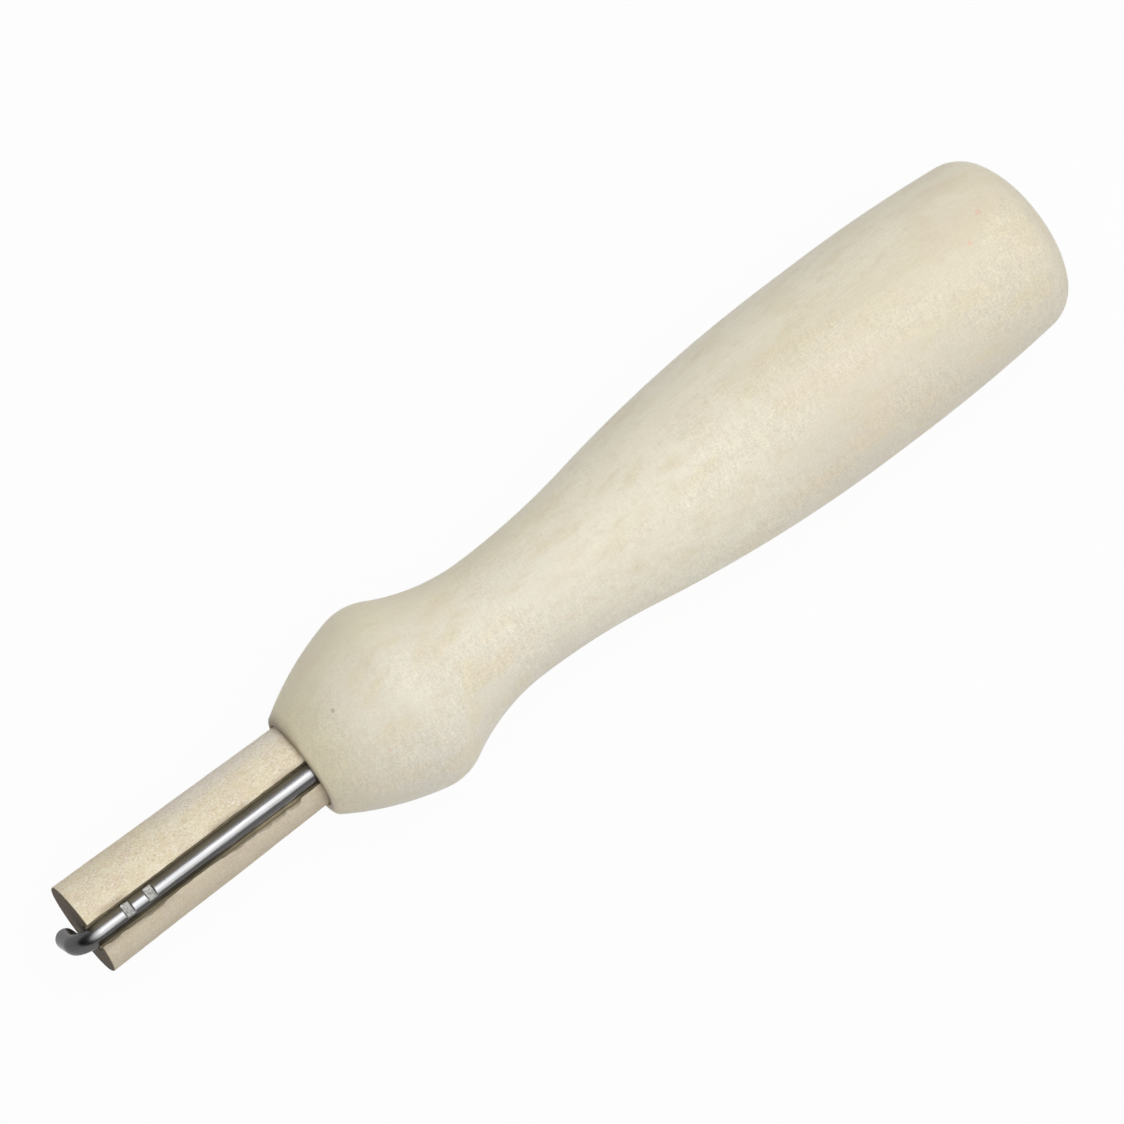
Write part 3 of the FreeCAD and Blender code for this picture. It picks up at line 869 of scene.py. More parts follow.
@dataclass(frozen=True)
class RawDowel(Finish):
    """Raw wood of the plug: coarse and dry, grey in patches along the slot, with a painted shadow ring
    at the mouth and dark end grain that is partly painted shade.
    """

    body: Colour = shade(245, 234, 206)
    tan: Colour = shade(235, 218, 180)
    rosy: Colour = shade(234, 214, 193)
    dim: Colour = shade(204, 191, 172)
    cool: Colour = shade(247, 239, 228)
    pale: Colour = shade(255, 251, 238)
    dark: Colour = shade(205, 188, 158)
    sawn: Colour = shade(236, 222, 190)
    # End grain, darkened with painted shade.
    shaded_end_grain: Colour = shade(96, 84, 70)
    # Grey of the slot edges, the painted shadow ring at the mouth, and the end grain's pores.
    soil: Colour = shade(128, 110, 86)
    bump_strength: float = 0.6
    bump_height: float = 0.08
    roughness: float = 0.85
    grain: float = 0.17
    tan_patches: Patches = Patches(0.8, 1.8, 0.4, 0.62, 0.55)
    rosy_patches: Patches = Patches(1.6, 1.4, 0.46, 0.66, 0.5)
    dim_side: Zone = Zone("Y", 1.4, 2.6, 0.6)
    cool_edge: Zone = Zone("Y", -1.6, -3.6, 0.65)
    cool_end: Zone = Zone("X", 41.0, 36.0)
    sparkling_side: Zone = Zone("Y", 1.5, -1.0, 1.0, 0.3)

    def material(self) -> bpy.types.Material:
        """Wires the patches, the coarse grain, the sawn slot, the end grain with its painted shade,
        the grey slot edges and the painted shadow ring at the mouth.

        Returns:
            The material.
        """
        bench, shader, made = self.start()
        place = bench.place()
        colour = bench.blend(self.patches(bench, place, self.tan_patches), self.body, self.tan)
        colour = bench.blend(self.patches(bench, place, self.rosy_patches), colour, self.rosy)
        side = bench.node("ShaderNodeSeparateXYZ", {0: place})
        colour = bench.blend(bench.zone(side, self.dim_side), colour, self.dim)
        cooled = bench.times(bench.zone(side, self.cool_edge), bench.zone(side, self.cool_end))
        colour = bench.blend(cooled, colour, self.cool)
        grain = bench.use(self.effects.get(Effect.SPARKLE), {"Position": place, "Grain": self.grain})
        colour = bench.blend(bench.times(grain.outputs["Dark"], 0.6), colour, self.dark)
        sparkling = bench.times(grain.outputs["Pale"], bench.zone(side, self.sparkling_side))
        colour = bench.blend(sparkling, colour, self.pale)
        fibres = self.fibres(bench, place, 1.6, 0.14, 0.8)
        lines = bench.times(bench.math("SUBTRACT", 1.0, fibres.outputs["Tone"]), 0.1)
        colour = bench.blend(lines, colour, self.dark)
        # Grey along the slot's edges, and a painted shadow ring at the mouth.
        colour = bench.blend(bench.mask(Mask.SOIL_AND_SHADE), colour, self.soil)
        colour = bench.blend(bench.mask(Mask.CUT), colour, self.sawn)
        # End faces and rounded rims: darker end grain with painted shade.
        pores = bench.times(grain.outputs["Pale"], 0.5)
        shaded_end_grain = bench.blend(pores, self.shaded_end_grain, self.soil)
        colour = bench.blend(bench.mask(Mask.TINT_AND_SHADE), colour, shaded_end_grain)
        bench.feed(shader.inputs["Base Color"], colour)
        shader.inputs["Roughness"].default_value = self.roughness
        relief = bench.plus(bench.times(fibres.outputs["Height"], 0.4), grain.outputs["Height"])
        self.raise_relief(bench, shader, relief)
        return made


@dataclass(frozen=True)
class DrawnSteel(Finish):
    """Bright drawn wire with scratches, a painted dark reflection on one flank, painted shade round
    the notches, and a bend and crank darkened by a blued tone and painted dark reflection.
    """

    bright: Colour = shade(188, 188, 190)
    dull: Colour = shade(146, 146, 148)
    # Pits in the notches, and the painted dark reflection and notch shade.
    grime_and_shade: Colour = shade(98, 97, 96)
    # Blued tone and painted dark reflection on the bend and crank.
    blued_and_shaded: Colour = shade(86, 86, 87)
    cut: Colour = shade(206, 205, 201)
    bump_strength: float = 0.35
    bump_height: float = 0.02
    roughness: float = 0.17
    cut_roughness: float = 0.4
    pit: float = 0.12
    edge: Colour = (0.8, 0.8, 0.8)
    clouds: Patches = Patches(0.8, 5.0, 0.4, 0.65, 0.25)
    mottling: Patches = Patches(0.22, 1.2, 0.42, 0.6, 0.45)

    def material(self) -> bpy.types.Material:
        """Wires the scratches, the bend and crank's blued tone with painted dark reflection, the
        painted flank and notch shade, and the rough cuts.

        Returns:
            The material.
        """
        bench, shader, made = self.start()
        straight = bench.node("ShaderNodeAttribute",
                              attribute_name=Mask.STRAIGHT.value).outputs["Vector"]
        scratches = self.fibres(bench, straight, 2.6, 0.05, 0.4)
        worn = bench.times(bench.math("SUBTRACT", 1.0, scratches.outputs["Tone"]), 0.45)
        colour = bench.blend(worn, self.bright, self.dull)
        colour = bench.blend(self.patches(bench, straight, self.clouds), colour, self.dull)
        # Bend and crank darkened: blued tone and painted dark reflection.
        colour = bench.blend(bench.mask(Mask.TINT_AND_SHADE), colour, self.blued_and_shaded)
        pits = bench.use(self.effects.get(Effect.SPARKLE), {"Position": straight, "Grain": self.pit})
        cut = bench.mask(Mask.CUT)
        colour = bench.blend(cut, colour, self.cut)
        pitted = bench.math("MAXIMUM", bench.times(pits.outputs["Dark"], 0.5),
                            self.patches(bench, straight, self.mottling))
        colour = bench.blend(bench.times(pitted, cut), colour, self.grime_and_shade)
        # Painted dark reflection on one flank and painted shade round the notches.
        colour = bench.blend(bench.mask(Mask.SOIL_AND_SHADE), colour, self.grime_and_shade)
        bench.feed(shader.inputs["Base Color"], colour)
        shader.inputs["Metallic"].default_value = 1.0
        shader.inputs["Specular Tint"].default_value = (*self.edge, 1.0)
        rough = bench.ramp(scratches.outputs["Tone"], 0.0, 1.0, self.roughness + 0.1, self.roughness)
        bench.feed(shader.inputs["Roughness"], bench.plus(rough, bench.times(cut, self.cut_roughness)))
        relief = bench.plus(bench.times(scratches.outputs["Height"], 0.35),
                            bench.times(bench.times(pits.outputs["Height"], cut), 3.0))
        self.raise_relief(bench, shader, relief)
        return made


@dataclass(frozen=True)
class PaperSweep(Finish):
    """White paper under and round the object. It looks white and still takes a soft shadow."""

    paper: Colour = (0.75, 0.75, 0.75)
    lift: float = 0.95

    def material(self) -> bpy.types.Material:
        """Mixes the paper's own shading with plain white, for what looks straight at it.

        Returns:
            The material.
        """
        bench, shader, made = self.start()
        shader.inputs["Base Color"].default_value = (*self.paper, 1.0)
        shader.inputs["Roughness"].default_value = 0.95
        shader.inputs["Specular IOR Level"].default_value = 0.0
        rays = bench.node("ShaderNodeLightPath")
        seen = bench.math("MAXIMUM", rays.outputs["Is Camera Ray"], rays.outputs["Is Glossy Ray"])
        seen = bench.math("MAXIMUM", seen, rays.outputs["Is Transmission Ray"])
        white = bench.node("ShaderNodeEmission", {"Color": (1.0, 1.0, 1.0), "Strength": 1.0})
        mixed = bench.node("ShaderNodeMixShader", {0: bench.times(seen, self.lift),
                                                   1: shader.outputs[0], 2: white.outputs[0]})
        output = [n for n in made.node_tree.nodes if n.type == "OUTPUT_MATERIAL"][0]
        bench.feed(output.inputs["Surface"], mixed.outputs[0])
        return made


# ---------------------------------------------------------------- the handle


@dataclass
class TurnedHandle:
    """Pear-shaped turned handle: domed butt, full belly, waist, and a bulb with a bored mouth.

    Stations are measured from the butt, and radii from the handle's axis.
    """

    mouth: float
    axis_height: float
    length: float = 77.55
    butt_flat: float = 1.55
    dome: float = 9.6
    corner: float = 4.04
    belly_radius: float = 9.0
    belly_start: float = 18.45
    belly_end: float = 21.85
    rear_belly: float = 139.0
    waist_radius: float = 5.94
    waist_station: float = 56.5
    rear_cove: float = 66.0
    crest_radius: float = 8.72
    crest_station: float = 67.56
    crest: float = 5.18
    nose: float = 27.1
    lip: float = 0.88
    lip_inner: float = 4.36
    bore_radius: float = 4.0
    bore_offset: float = -0.3
    bore_depth: float = 55.75
    drill_half_angle: float = 59.0
    mouth_break: float = 0.22
    sanded_off: float = 0.012
    sanding: tuple[Layer, ...] = ((0.035, (13.0, 6.0, 6.0), 11), (0.008, (3.0, 1.4, 1.4), 12))
    # Reach and strength of the stain and painted shade round the mouth.
    soil_and_shade_reach: float = 1.0
    soil_and_shade_strength: float = 0.75
    row_step: float = 0.3
    columns: int = 208
    crease: float = 48

    def outline(self) -> Array:
        """The turned profile, from the butt's middle to the start of the lip.

        It is a chain of arcs, each touching the next. Where an arc has no size of its own, it
        spans dx along and rises dy between two extreme points, beside an arc of radius R, and
        its radius is (dx^2 + dy^2) / 2dy - R.

        Returns:
            Points (station, radius).
        """
        dome = (self.dome, self.butt_flat)
        rear_belly = (self.belly_start, self.belly_radius - self.rear_belly)
        corner = apart_from(rear_belly, self.rear_belly - self.corner, dome, self.dome - self.corner)
        front_radius = self.between(self.waist_station - self.belly_end,
                                    self.belly_radius - self.waist_radius) - self.rear_cove
        front_belly = (self.belly_end, self.belly_radius - front_radius)
        rear_cove = (self.waist_station, self.waist_radius + self.rear_cove)
        crest = (self.crest_station, self.crest_radius - self.crest)
        cove_radius = self.between(self.crest_station - self.waist_station,
                                   self.crest_radius - self.waist_radius) - self.crest
        front_cove = (self.waist_station, self.waist_radius + cove_radius)
        lip = (self.length - self.lip, self.lip_inner)
        nose = apart_from(lip, self.nose - self.lip, crest, self.nose - self.crest)
        step, right, top = self.row_step, math.pi, math.pi / 2
        butt = np.stack([np.zeros(6), np.linspace(0, self.butt_flat, 6)], -1)
        parts = [
            butt,
            arc_points(dome, self.dome, right, bearing(dome, corner), step)[1:],
            arc_points(corner, self.corner, bearing(dome, corner), bearing(rear_belly, corner),
                       step)[1:],
            arc_points(rear_belly, self.rear_belly, bearing(rear_belly, corner), top, step)[1:],
            arc_points(front_belly, front_radius, top, bearing(front_belly, rear_cove), step),
            arc_points(rear_cove, self.rear_cove, bearing(rear_cove, front_belly), -top, step)[1:],
            arc_points(front_cove, cove_radius, -top, bearing(front_cove, crest), step)[1:],
            arc_points(crest, self.crest, bearing(crest, front_cove), bearing(nose, crest),
                       step)[1:],
            arc_points(nose, self.nose, bearing(nose, crest), bearing(nose, lip), step)[1:],
        ]
        return np.concatenate(parts)

    def between(self, along: float, rise: float) -> float:
        """Radii of two touching arcs added: (along^2 + rise^2) / (2 rise)."""
        return (along**2 + rise**2) / (2 * rise)

    def rings(self, stations: Array, radii: Array, centre: float) -> Array:
        """Circles round a line along X: (station, centre + radius cos a, height + radius sin a).

        Args:
            stations: x of each circle, one per row or one per point.
            radii: radius of each circle, or of each point.
            centre: y of the circles' centre.

        Returns:
            Points, shaped rows, columns, 3.
        """
        turn = np.linspace(0, 2 * np.pi, self.columns, endpoint=False)
        stations, radii = np.atleast_2d(stations), np.atleast_2d(radii)
        shape = np.broadcast_shapes(stations.shape, radii.shape, (1, self.columns))
        return np.stack([np.broadcast_to(stations, shape),
                         centre + radii * np.cos(turn) + np.zeros(shape),
                         self.axis_height + radii * np.sin(turn) + np.zeros(shape)], -1)

    def skin(self) -> Array:
        """The turned outside, less what sanding took, from the butt's middle to the lip's start.

        Returns:
            Points, shaped rows, columns, 3.
        """
        outline = self.outline()
        stations = self.mouth - self.length + outline[:, :1]
        plain = self.rings(stations, outline[:, 1:], 0.0)
        share = np.minimum(outline[:, 1:] / self.butt_flat, 1)
        radii = outline[:, 1:] - layered(plain, self.sanding, self.sanded_off) * share
        return self.rings(stations, radii, 0.0)

    def lip_rows(self, start: Array) -> Array:
        """The rounded lip, from the skin's last circle in to the mouth's broken edge.

        Each point moves straight from that circle to the edge's, and its station follows the
        lip's arc: mouth - (lip - square root of (lip^2 - (distance from axis - lip_inner)^2)).

        Args:
            start: the skin's last circle, shaped columns, 3.

        Returns:
            Points, shaped rows, columns, 3.
        """
        edge = self.rings(0.0, self.bore_radius + self.mouth_break, self.bore_offset)[0]
        share = np.sin(np.linspace(0, np.pi / 2, 16))[1:, None, None]
        flat = (1 - share) * start[None, :, 1:] + share * edge[None, :, 1:]
        reach = np.hypot(flat[..., 0], flat[..., 1] - self.axis_height)
        over = np.clip(reach - self.lip_inner, 0, self.lip * 0.95)
        station = self.mouth - (self.lip - np.sqrt(self.lip**2 - over**2))
        return np.concatenate([station[..., None], flat], -1)

    def bore_rows(self, start: Array) -> Array:
        """The mouth's broken edge, the bore's wall, and the drill's cone at its end.

        Args:
            start: the lip's last circle, shaped columns, 3.

        Returns:
            Points, shaped rows, columns, 3.
        """
        turn = np.linspace(0, np.pi / 2, 5)[1:, None]
        broken = self.rings(start[None, :, 0] - self.mouth_break * (1 - np.cos(turn)),
                            self.bore_radius + self.mouth_break * (1 - np.sin(turn)),
                            self.bore_offset)
        share = np.linspace(0, 1, 49)[1:, None] ** 1.5
        top = broken[-1, :, 0][None]
        wall = self.rings(top + share * (self.mouth - self.bore_depth - top),
                          np.full(share.shape, self.bore_radius), self.bore_offset)
        inward = np.linspace(1, 0, 8)[1:, None]
        tip = self.bore_radius / math.tan(math.radians(self.drill_half_angle))
        cone = self.rings(self.mouth - self.bore_depth - tip * (1 - inward),
                          self.bore_radius * inward, self.bore_offset)
        return np.concatenate([broken, wall, cone])

    def build(self) -> bpy.types.Object:
        """Joins skin, lip and bore into one closed surface.

        Returns:
            The handle.
        """
        skin = self.skin()
        lip = self.lip_rows(skin[-1])
        bore = self.bore_rows(lip[-1])
        grid = np.concatenate([skin, lip, bore])
        shape = grid.shape[:2]
        inner = np.zeros(shape)
        inner[len(skin) + len(lip):] = 1
        # Stain and painted shade round the mouth, where the plug meets the lip; stronger on the upper
        # side.
        reach = np.hypot(grid[..., 1] - self.bore_offset, grid[..., 2] - self.axis_height)
        upper = ease(grid[..., 1], 2.0, -2.0)
        soil = ease(reach, self.bore_radius + self.soil_and_shade_reach + 0.3 * upper, self.bore_radius + 0.2)
        soil *= self.soil_and_shade_strength + 0.15 * upper
        soil[: len(skin) - 8] = 0
        surface = Skin("turned_handle")
        surface.add(grid, True, {Mask.CUT: inner, Mask.SOIL_AND_SHADE: soil})
        return surface.build(self.crease)

    def make(self, finish: SandedMaple) -> None:
        """Builds, dresses and places the handle on its body."""
        piece = self.build()
        piece.data.materials.append(finish.material())
        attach(piece, "handle")
        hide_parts("handle")


# ---------------------------------------------------------------- the plug


@dataclass
class SlottedPlug:
    """Tapered dowel that closes the bore, with an open slot along it for the needle.

    Across the plug, 'up' is the way the slot opens and 'side' is square to it.
    """

    inner_end: float
    outer_end: float
    axis_side: float
    axis_height: float
    mouth: float
    mouth_radius: float = 3.97
    taper: float = 1.03
    slot_lean: float = 10.5
    slot_offset: float = 1.08
    slot_half: float = 1.1
    slot_floor: float = 1.746
    needle_height: float = 2.831
    rim_round: float = 0.2
    inner_round: float = 0.2
    half_columns: int = 130
    row_step: float = 0.13
    hidden_row_step: float = 0.4
    chip_seed: int = 7
    chip_reach: float = 0.45
    ragged_edge: tuple[Layer, ...] = ((0.05, (0.5, 1.0, 1.0), 21), (0.06, (3.4, 1.0, 1.0), 22))
    raw_grain: tuple[Layer, ...] = ((0.02, (2.6, 0.6, 0.6), 31), (0.02, (0.3, 0.28, 0.28), 32),
                                    (0.05, (6.0, 2.2, 2.2), 33))
    sawn_face: tuple[Layer, ...] = ((0.05, (1.0, 0.5, 0.5), 41), (0.04, (1.0, 2.0, 0.3), 42))
    cap_rows: int = 14
    crease: float = 38
    wall_share: float = 0.36

    def up(self) -> Array:
        """Direction in which the slot opens, in Y and Z."""
        lean = math.radians(self.slot_lean)
        return np.array([math.sin(lean), math.cos(lean)])

    def side(self) -> Array:
        """Direction square to that one, towards +Y."""
        lean = math.radians(self.slot_lean)
        return np.array([math.cos(lean), -math.sin(lean)])

    def radius(self, stations: Array) -> Array:
        """Plug's radius at each x, from the taper."""
        return self.mouth_radius + (stations - self.mouth) * math.tan(math.radians(self.taper))

    def chips(self, stations: Array, edge: SlotSide) -> Array:
        """How far the slot's edge is broken away: a ragged line with torn places in it.

        A torn place is a long flat bite whose two ends are steep, and its bottom is ragged:
        depth times (1 - (distance / half its length)^4), where that is over 0, times a swell.

        Args:
            stations: x of each row.
            edge: which edge.

        Returns:
            Widths in millimetres, never negative.
        """
        places = np.stack([stations, np.full_like(stations, 5.0 * edge.value),
                           np.zeros_like(stations)], -1)
        ragged = layered(places, self.ragged_edge)
        uneven = 0.55 + 0.75 * swell(places, (1.1, 1.0, 1.0), 23)
        random = np.random.default_rng(self.chip_seed + edge.value)
        count, deepest = (15, 0.38) if edge is SlotSide.LOW else (5, 0.07)
        middles = random.uniform(self.mouth + 0.5, self.outer_end - 1.0, count)
        halves = random.uniform(0.4, 1.7, count)
        depths = random.uniform(0.3, 1.0, count) ** 1.4 * deepest
        gaps = np.abs(stations[:, None] - middles[None]) / halves[None]
        torn = (depths * np.clip(1 - gaps**4, 0, None)).max(axis=1)
        return ragged + torn * uneven

    def section(self, stations: Array, inset: Array) -> tuple[Array, Array]:
        """Plug's cross-section at each row, as its round outside and its slot.

        The outside turns from one slot edge round the bottom to the other. The slot goes down
        one wall, across the floor and up the other, and a wall leans out towards its chipped
        top by the chip's width times e to the power of (minus depth over reach).

        Args:
            stations: x of each row.
            inset: how far the whole outline is drawn in at each row.

        Returns:
            Outside and slot, each shaped rows, half_columns, 2, as side and up.
        """
        share = np.linspace(0, 1, self.half_columns)
        low, high = self.chips(stations, SlotSide.LOW), self.chips(stations, SlotSide.HIGH)
        radius = self.radius(stations) - inset
        half = self.slot_half + inset
        low_wall, high_wall = self.slot_offset + half, self.slot_offset - half
        first = np.arcsin((low_wall + low) / radius)
        last = 2 * np.pi + np.arcsin((high_wall - high) / radius)
        angle = first[:, None] + (last - first)[:, None] * share
        rough = self.relief(stations, angle)
        reach = radius[:, None] - rough
        outside = np.stack([reach * np.sin(angle), reach * np.cos(angle)], -1)
        floor = self.slot_floor - inset
        drop = np.clip(share / self.wall_share, 0, 1)[None]
        climb = np.clip((1 - share) / self.wall_share, 0, 1)[None]
        across = np.clip((share - self.wall_share) / (1 - 2 * self.wall_share), 0, 1)[None]
        low_up = outside[:, :1, 1] + (floor[:, None] - outside[:, :1, 1]) * drop
        high_up = outside[:, -1:, 1] + (floor[:, None] - outside[:, -1:, 1]) * climb
        low_depth = outside[:, :1, 1] - low_up
        high_depth = outside[:, -1:, 1] - high_up
        low_wall, high_wall = low_wall[:, None], high_wall[:, None]
        lean_low = (outside[:, :1, 0] - low_wall) * np.exp(-low_depth / self.chip_reach)
        lean_high = (high_wall - outside[:, -1:, 0]) * np.exp(-high_depth / self.chip_reach)
        on_low, on_floor = share[None] <= self.wall_share, share[None] < 1 - self.wall_share
        sideways = np.where(on_low, low_wall + lean_low,
                            np.where(on_floor, low_wall + (high_wall - low_wall) * across,
                                     high_wall - lean_high))
        upwards = np.where(on_low, low_up, np.where(on_floor, floor[:, None], high_up))
        return outside, np.stack([sideways, upwards], -1)

    def relief(self, stations: Array, angle: Array) -> Array:
        """Raised raw grain on the outside: long fibres, short ones, and shallow hollows.

        Args:
            stations: x of each row.
            angle: angle of each point, shaped rows, columns.

        Returns:
            Depths in millimetres, never negative.
        """
        x = np.broadcast_to(stations[:, None], angle.shape)
        places = np.stack([x, 4.2 * np.sin(angle), 4.2 * np.cos(angle)], -1)
        return layered(places, self.raw_grain)

    def rows(self) -> tuple[Array, Array]:
        """Stations from the inner face to the outer, with how far each is drawn in.

        At an end the outline is drawn in by a quarter circle: inset = round (1 - cosine), and
        the station is the end's less round (1 - sine).

        Returns:
            Stations and insets.
        """
        turn = np.linspace(0, np.pi / 2, 7)
        inner = self.inner_end + self.inner_round * (1 - np.sin(turn))
        inner_inset = self.inner_round * (1 - np.cos(turn))
        outer = self.outer_end - self.rim_round * (1 - np.sin(turn))
        outer_inset = self.rim_round * (1 - np.cos(turn))
        hidden = np.arange(inner[0] + self.hidden_row_step, self.mouth - 0.8, self.hidden_row_step)
        shown = np.arange(self.mouth - 0.8, outer[0] - self.row_step / 2, self.row_step)
        stations = np.concatenate([inner[::-1], hidden, shown, outer])
        insets = np.concatenate([inner_inset[::-1], 0 * hidden, 0 * shown, outer_inset])
        return stations, insets

    def place(self, stations: Array, flat: Array) -> Array:
        """Turns side and up into frame positions: axis + side * a + up * b.

        Args:
            stations: x of each point.
            flat: side and up of each point, in the last axis.

        Returns:
            Points, three numbers each.
        """
        across = flat[..., :1] * self.side() + flat[..., 1:] * self.up()
        x = np.broadcast_to(stations, flat.shape[:-1])
        return np.stack([x, self.axis_side + across[..., 0], self.axis_height + across[..., 1]], -1)

    def cap(self, outside: Array, slot: Array, station: float, outwards: int) -> Array:
        """An end face: straight lines from the outside to the slot, with a sawn surface.

        Args:
            outside: the outside's last row, shaped half_columns, 2.
            slot: the slot's last row, the same shape.
            station: x of the end.
            outwards: 1 where the face looks to +X, and -1 where it looks to -X.

        Returns:
            Points, shaped rows, half_columns, 3.
        """
        share = np.linspace(0, 1, self.cap_rows)[:, None, None]
        flat = (1 - share) * outside[None] + share * slot[None]
        places = np.concatenate([np.full((*flat.shape[:2], 1), station), flat], -1)
        sink = layered(places, self.sawn_face) * np.sin(np.pi * share[..., 0]) ** 0.5
        return self.place(station - outwards * sink, flat)

    def soil(self, stations: Array, loop: Array, grid: Array) -> Array:
        """Grey in patches along the slot's edges, and a thin ring of painted shadow at the mouth,
        where the plug goes into the lip.

        Args:
            stations: x of each row.
            loop: the cross-sections' points, as side and up.
            grid: the same points in the frame.

        Returns:
            How dark each point is, from 0 to 1.
        """
        worn = ease(swell(grid, (2.2, 0.8, 0.8), 51), 0.35, 0.8)
        from_slot = np.abs(loop[..., 0] - self.slot_offset) - self.slot_half
        above_floor = loop[..., 1] > self.slot_floor
        edge = np.where(above_floor, ease(from_slot, 0.7, 0.05) * worn * 0.5, 0)
        # Painted shadow ring where the plug goes into the handle's mouth.
        ring = ease(np.abs(stations - self.mouth), 0.5, 0.1)[:, None] * 0.15
        return np.maximum(edge, ring)

    def build(self) -> bpy.types.Object:
        """Joins the side, the slot and the two end faces into one closed surface.

        Returns:
            The plug.
        """
        stations, insets = self.rows()
        outside, slot = self.section(stations, insets)
        loop = np.concatenate([outside, slot[:, -2:0:-1]], axis=1)
        grid = self.place(stations[:, None], loop)
        sawn = np.zeros(loop.shape[:2])
        edge_up = np.where(slot[..., 0] > self.slot_offset, outside[:, :1, 1], outside[:, -1:, 1])
        depth = (edge_up - slot[..., 1])[:, -2:0:-1]
        sawn[:, self.half_columns:] = ease(depth, 0.02, 0.35)
        # Rounded rims and end faces get the darker end grain with painted shade.
        ends = ease(insets, 0.0, 0.04)[:, None] + np.zeros(loop.shape[:2])
        skin = Skin("slotted_dowel")
        skin.add(grid, True, {Mask.CUT: sawn, Mask.SOIL_AND_SHADE: self.soil(stations, loop, grid),
                              Mask.TINT_AND_SHADE: ends})
        full = np.ones((self.cap_rows, self.half_columns))
        for row, outwards in ((0, -1), (-1, 1)):
            face = self.cap(outside[row], slot[row], stations[row], outwards)
            skin.add(face, False, {Mask.CUT: full, Mask.SOIL_AND_SHADE: full * 0, Mask.TINT_AND_SHADE: full})
        return skin.build(self.crease)

    def make(self, finish: RawDowel) -> None:
        """Builds, dresses and places the plug on its body."""
        piece = self.build()
        piece.data.materials.append(finish.material())
        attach(piece, "plug")
        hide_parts("slotted_plug")


# ---------------------------------------------------------------- the needle


def capped(values: Array) -> Array:
    """Repeats the first row once and the last one twice, for the points that close the ends."""
    return np.concatenate([values[:1], values, values[-1:], values[-1:]])


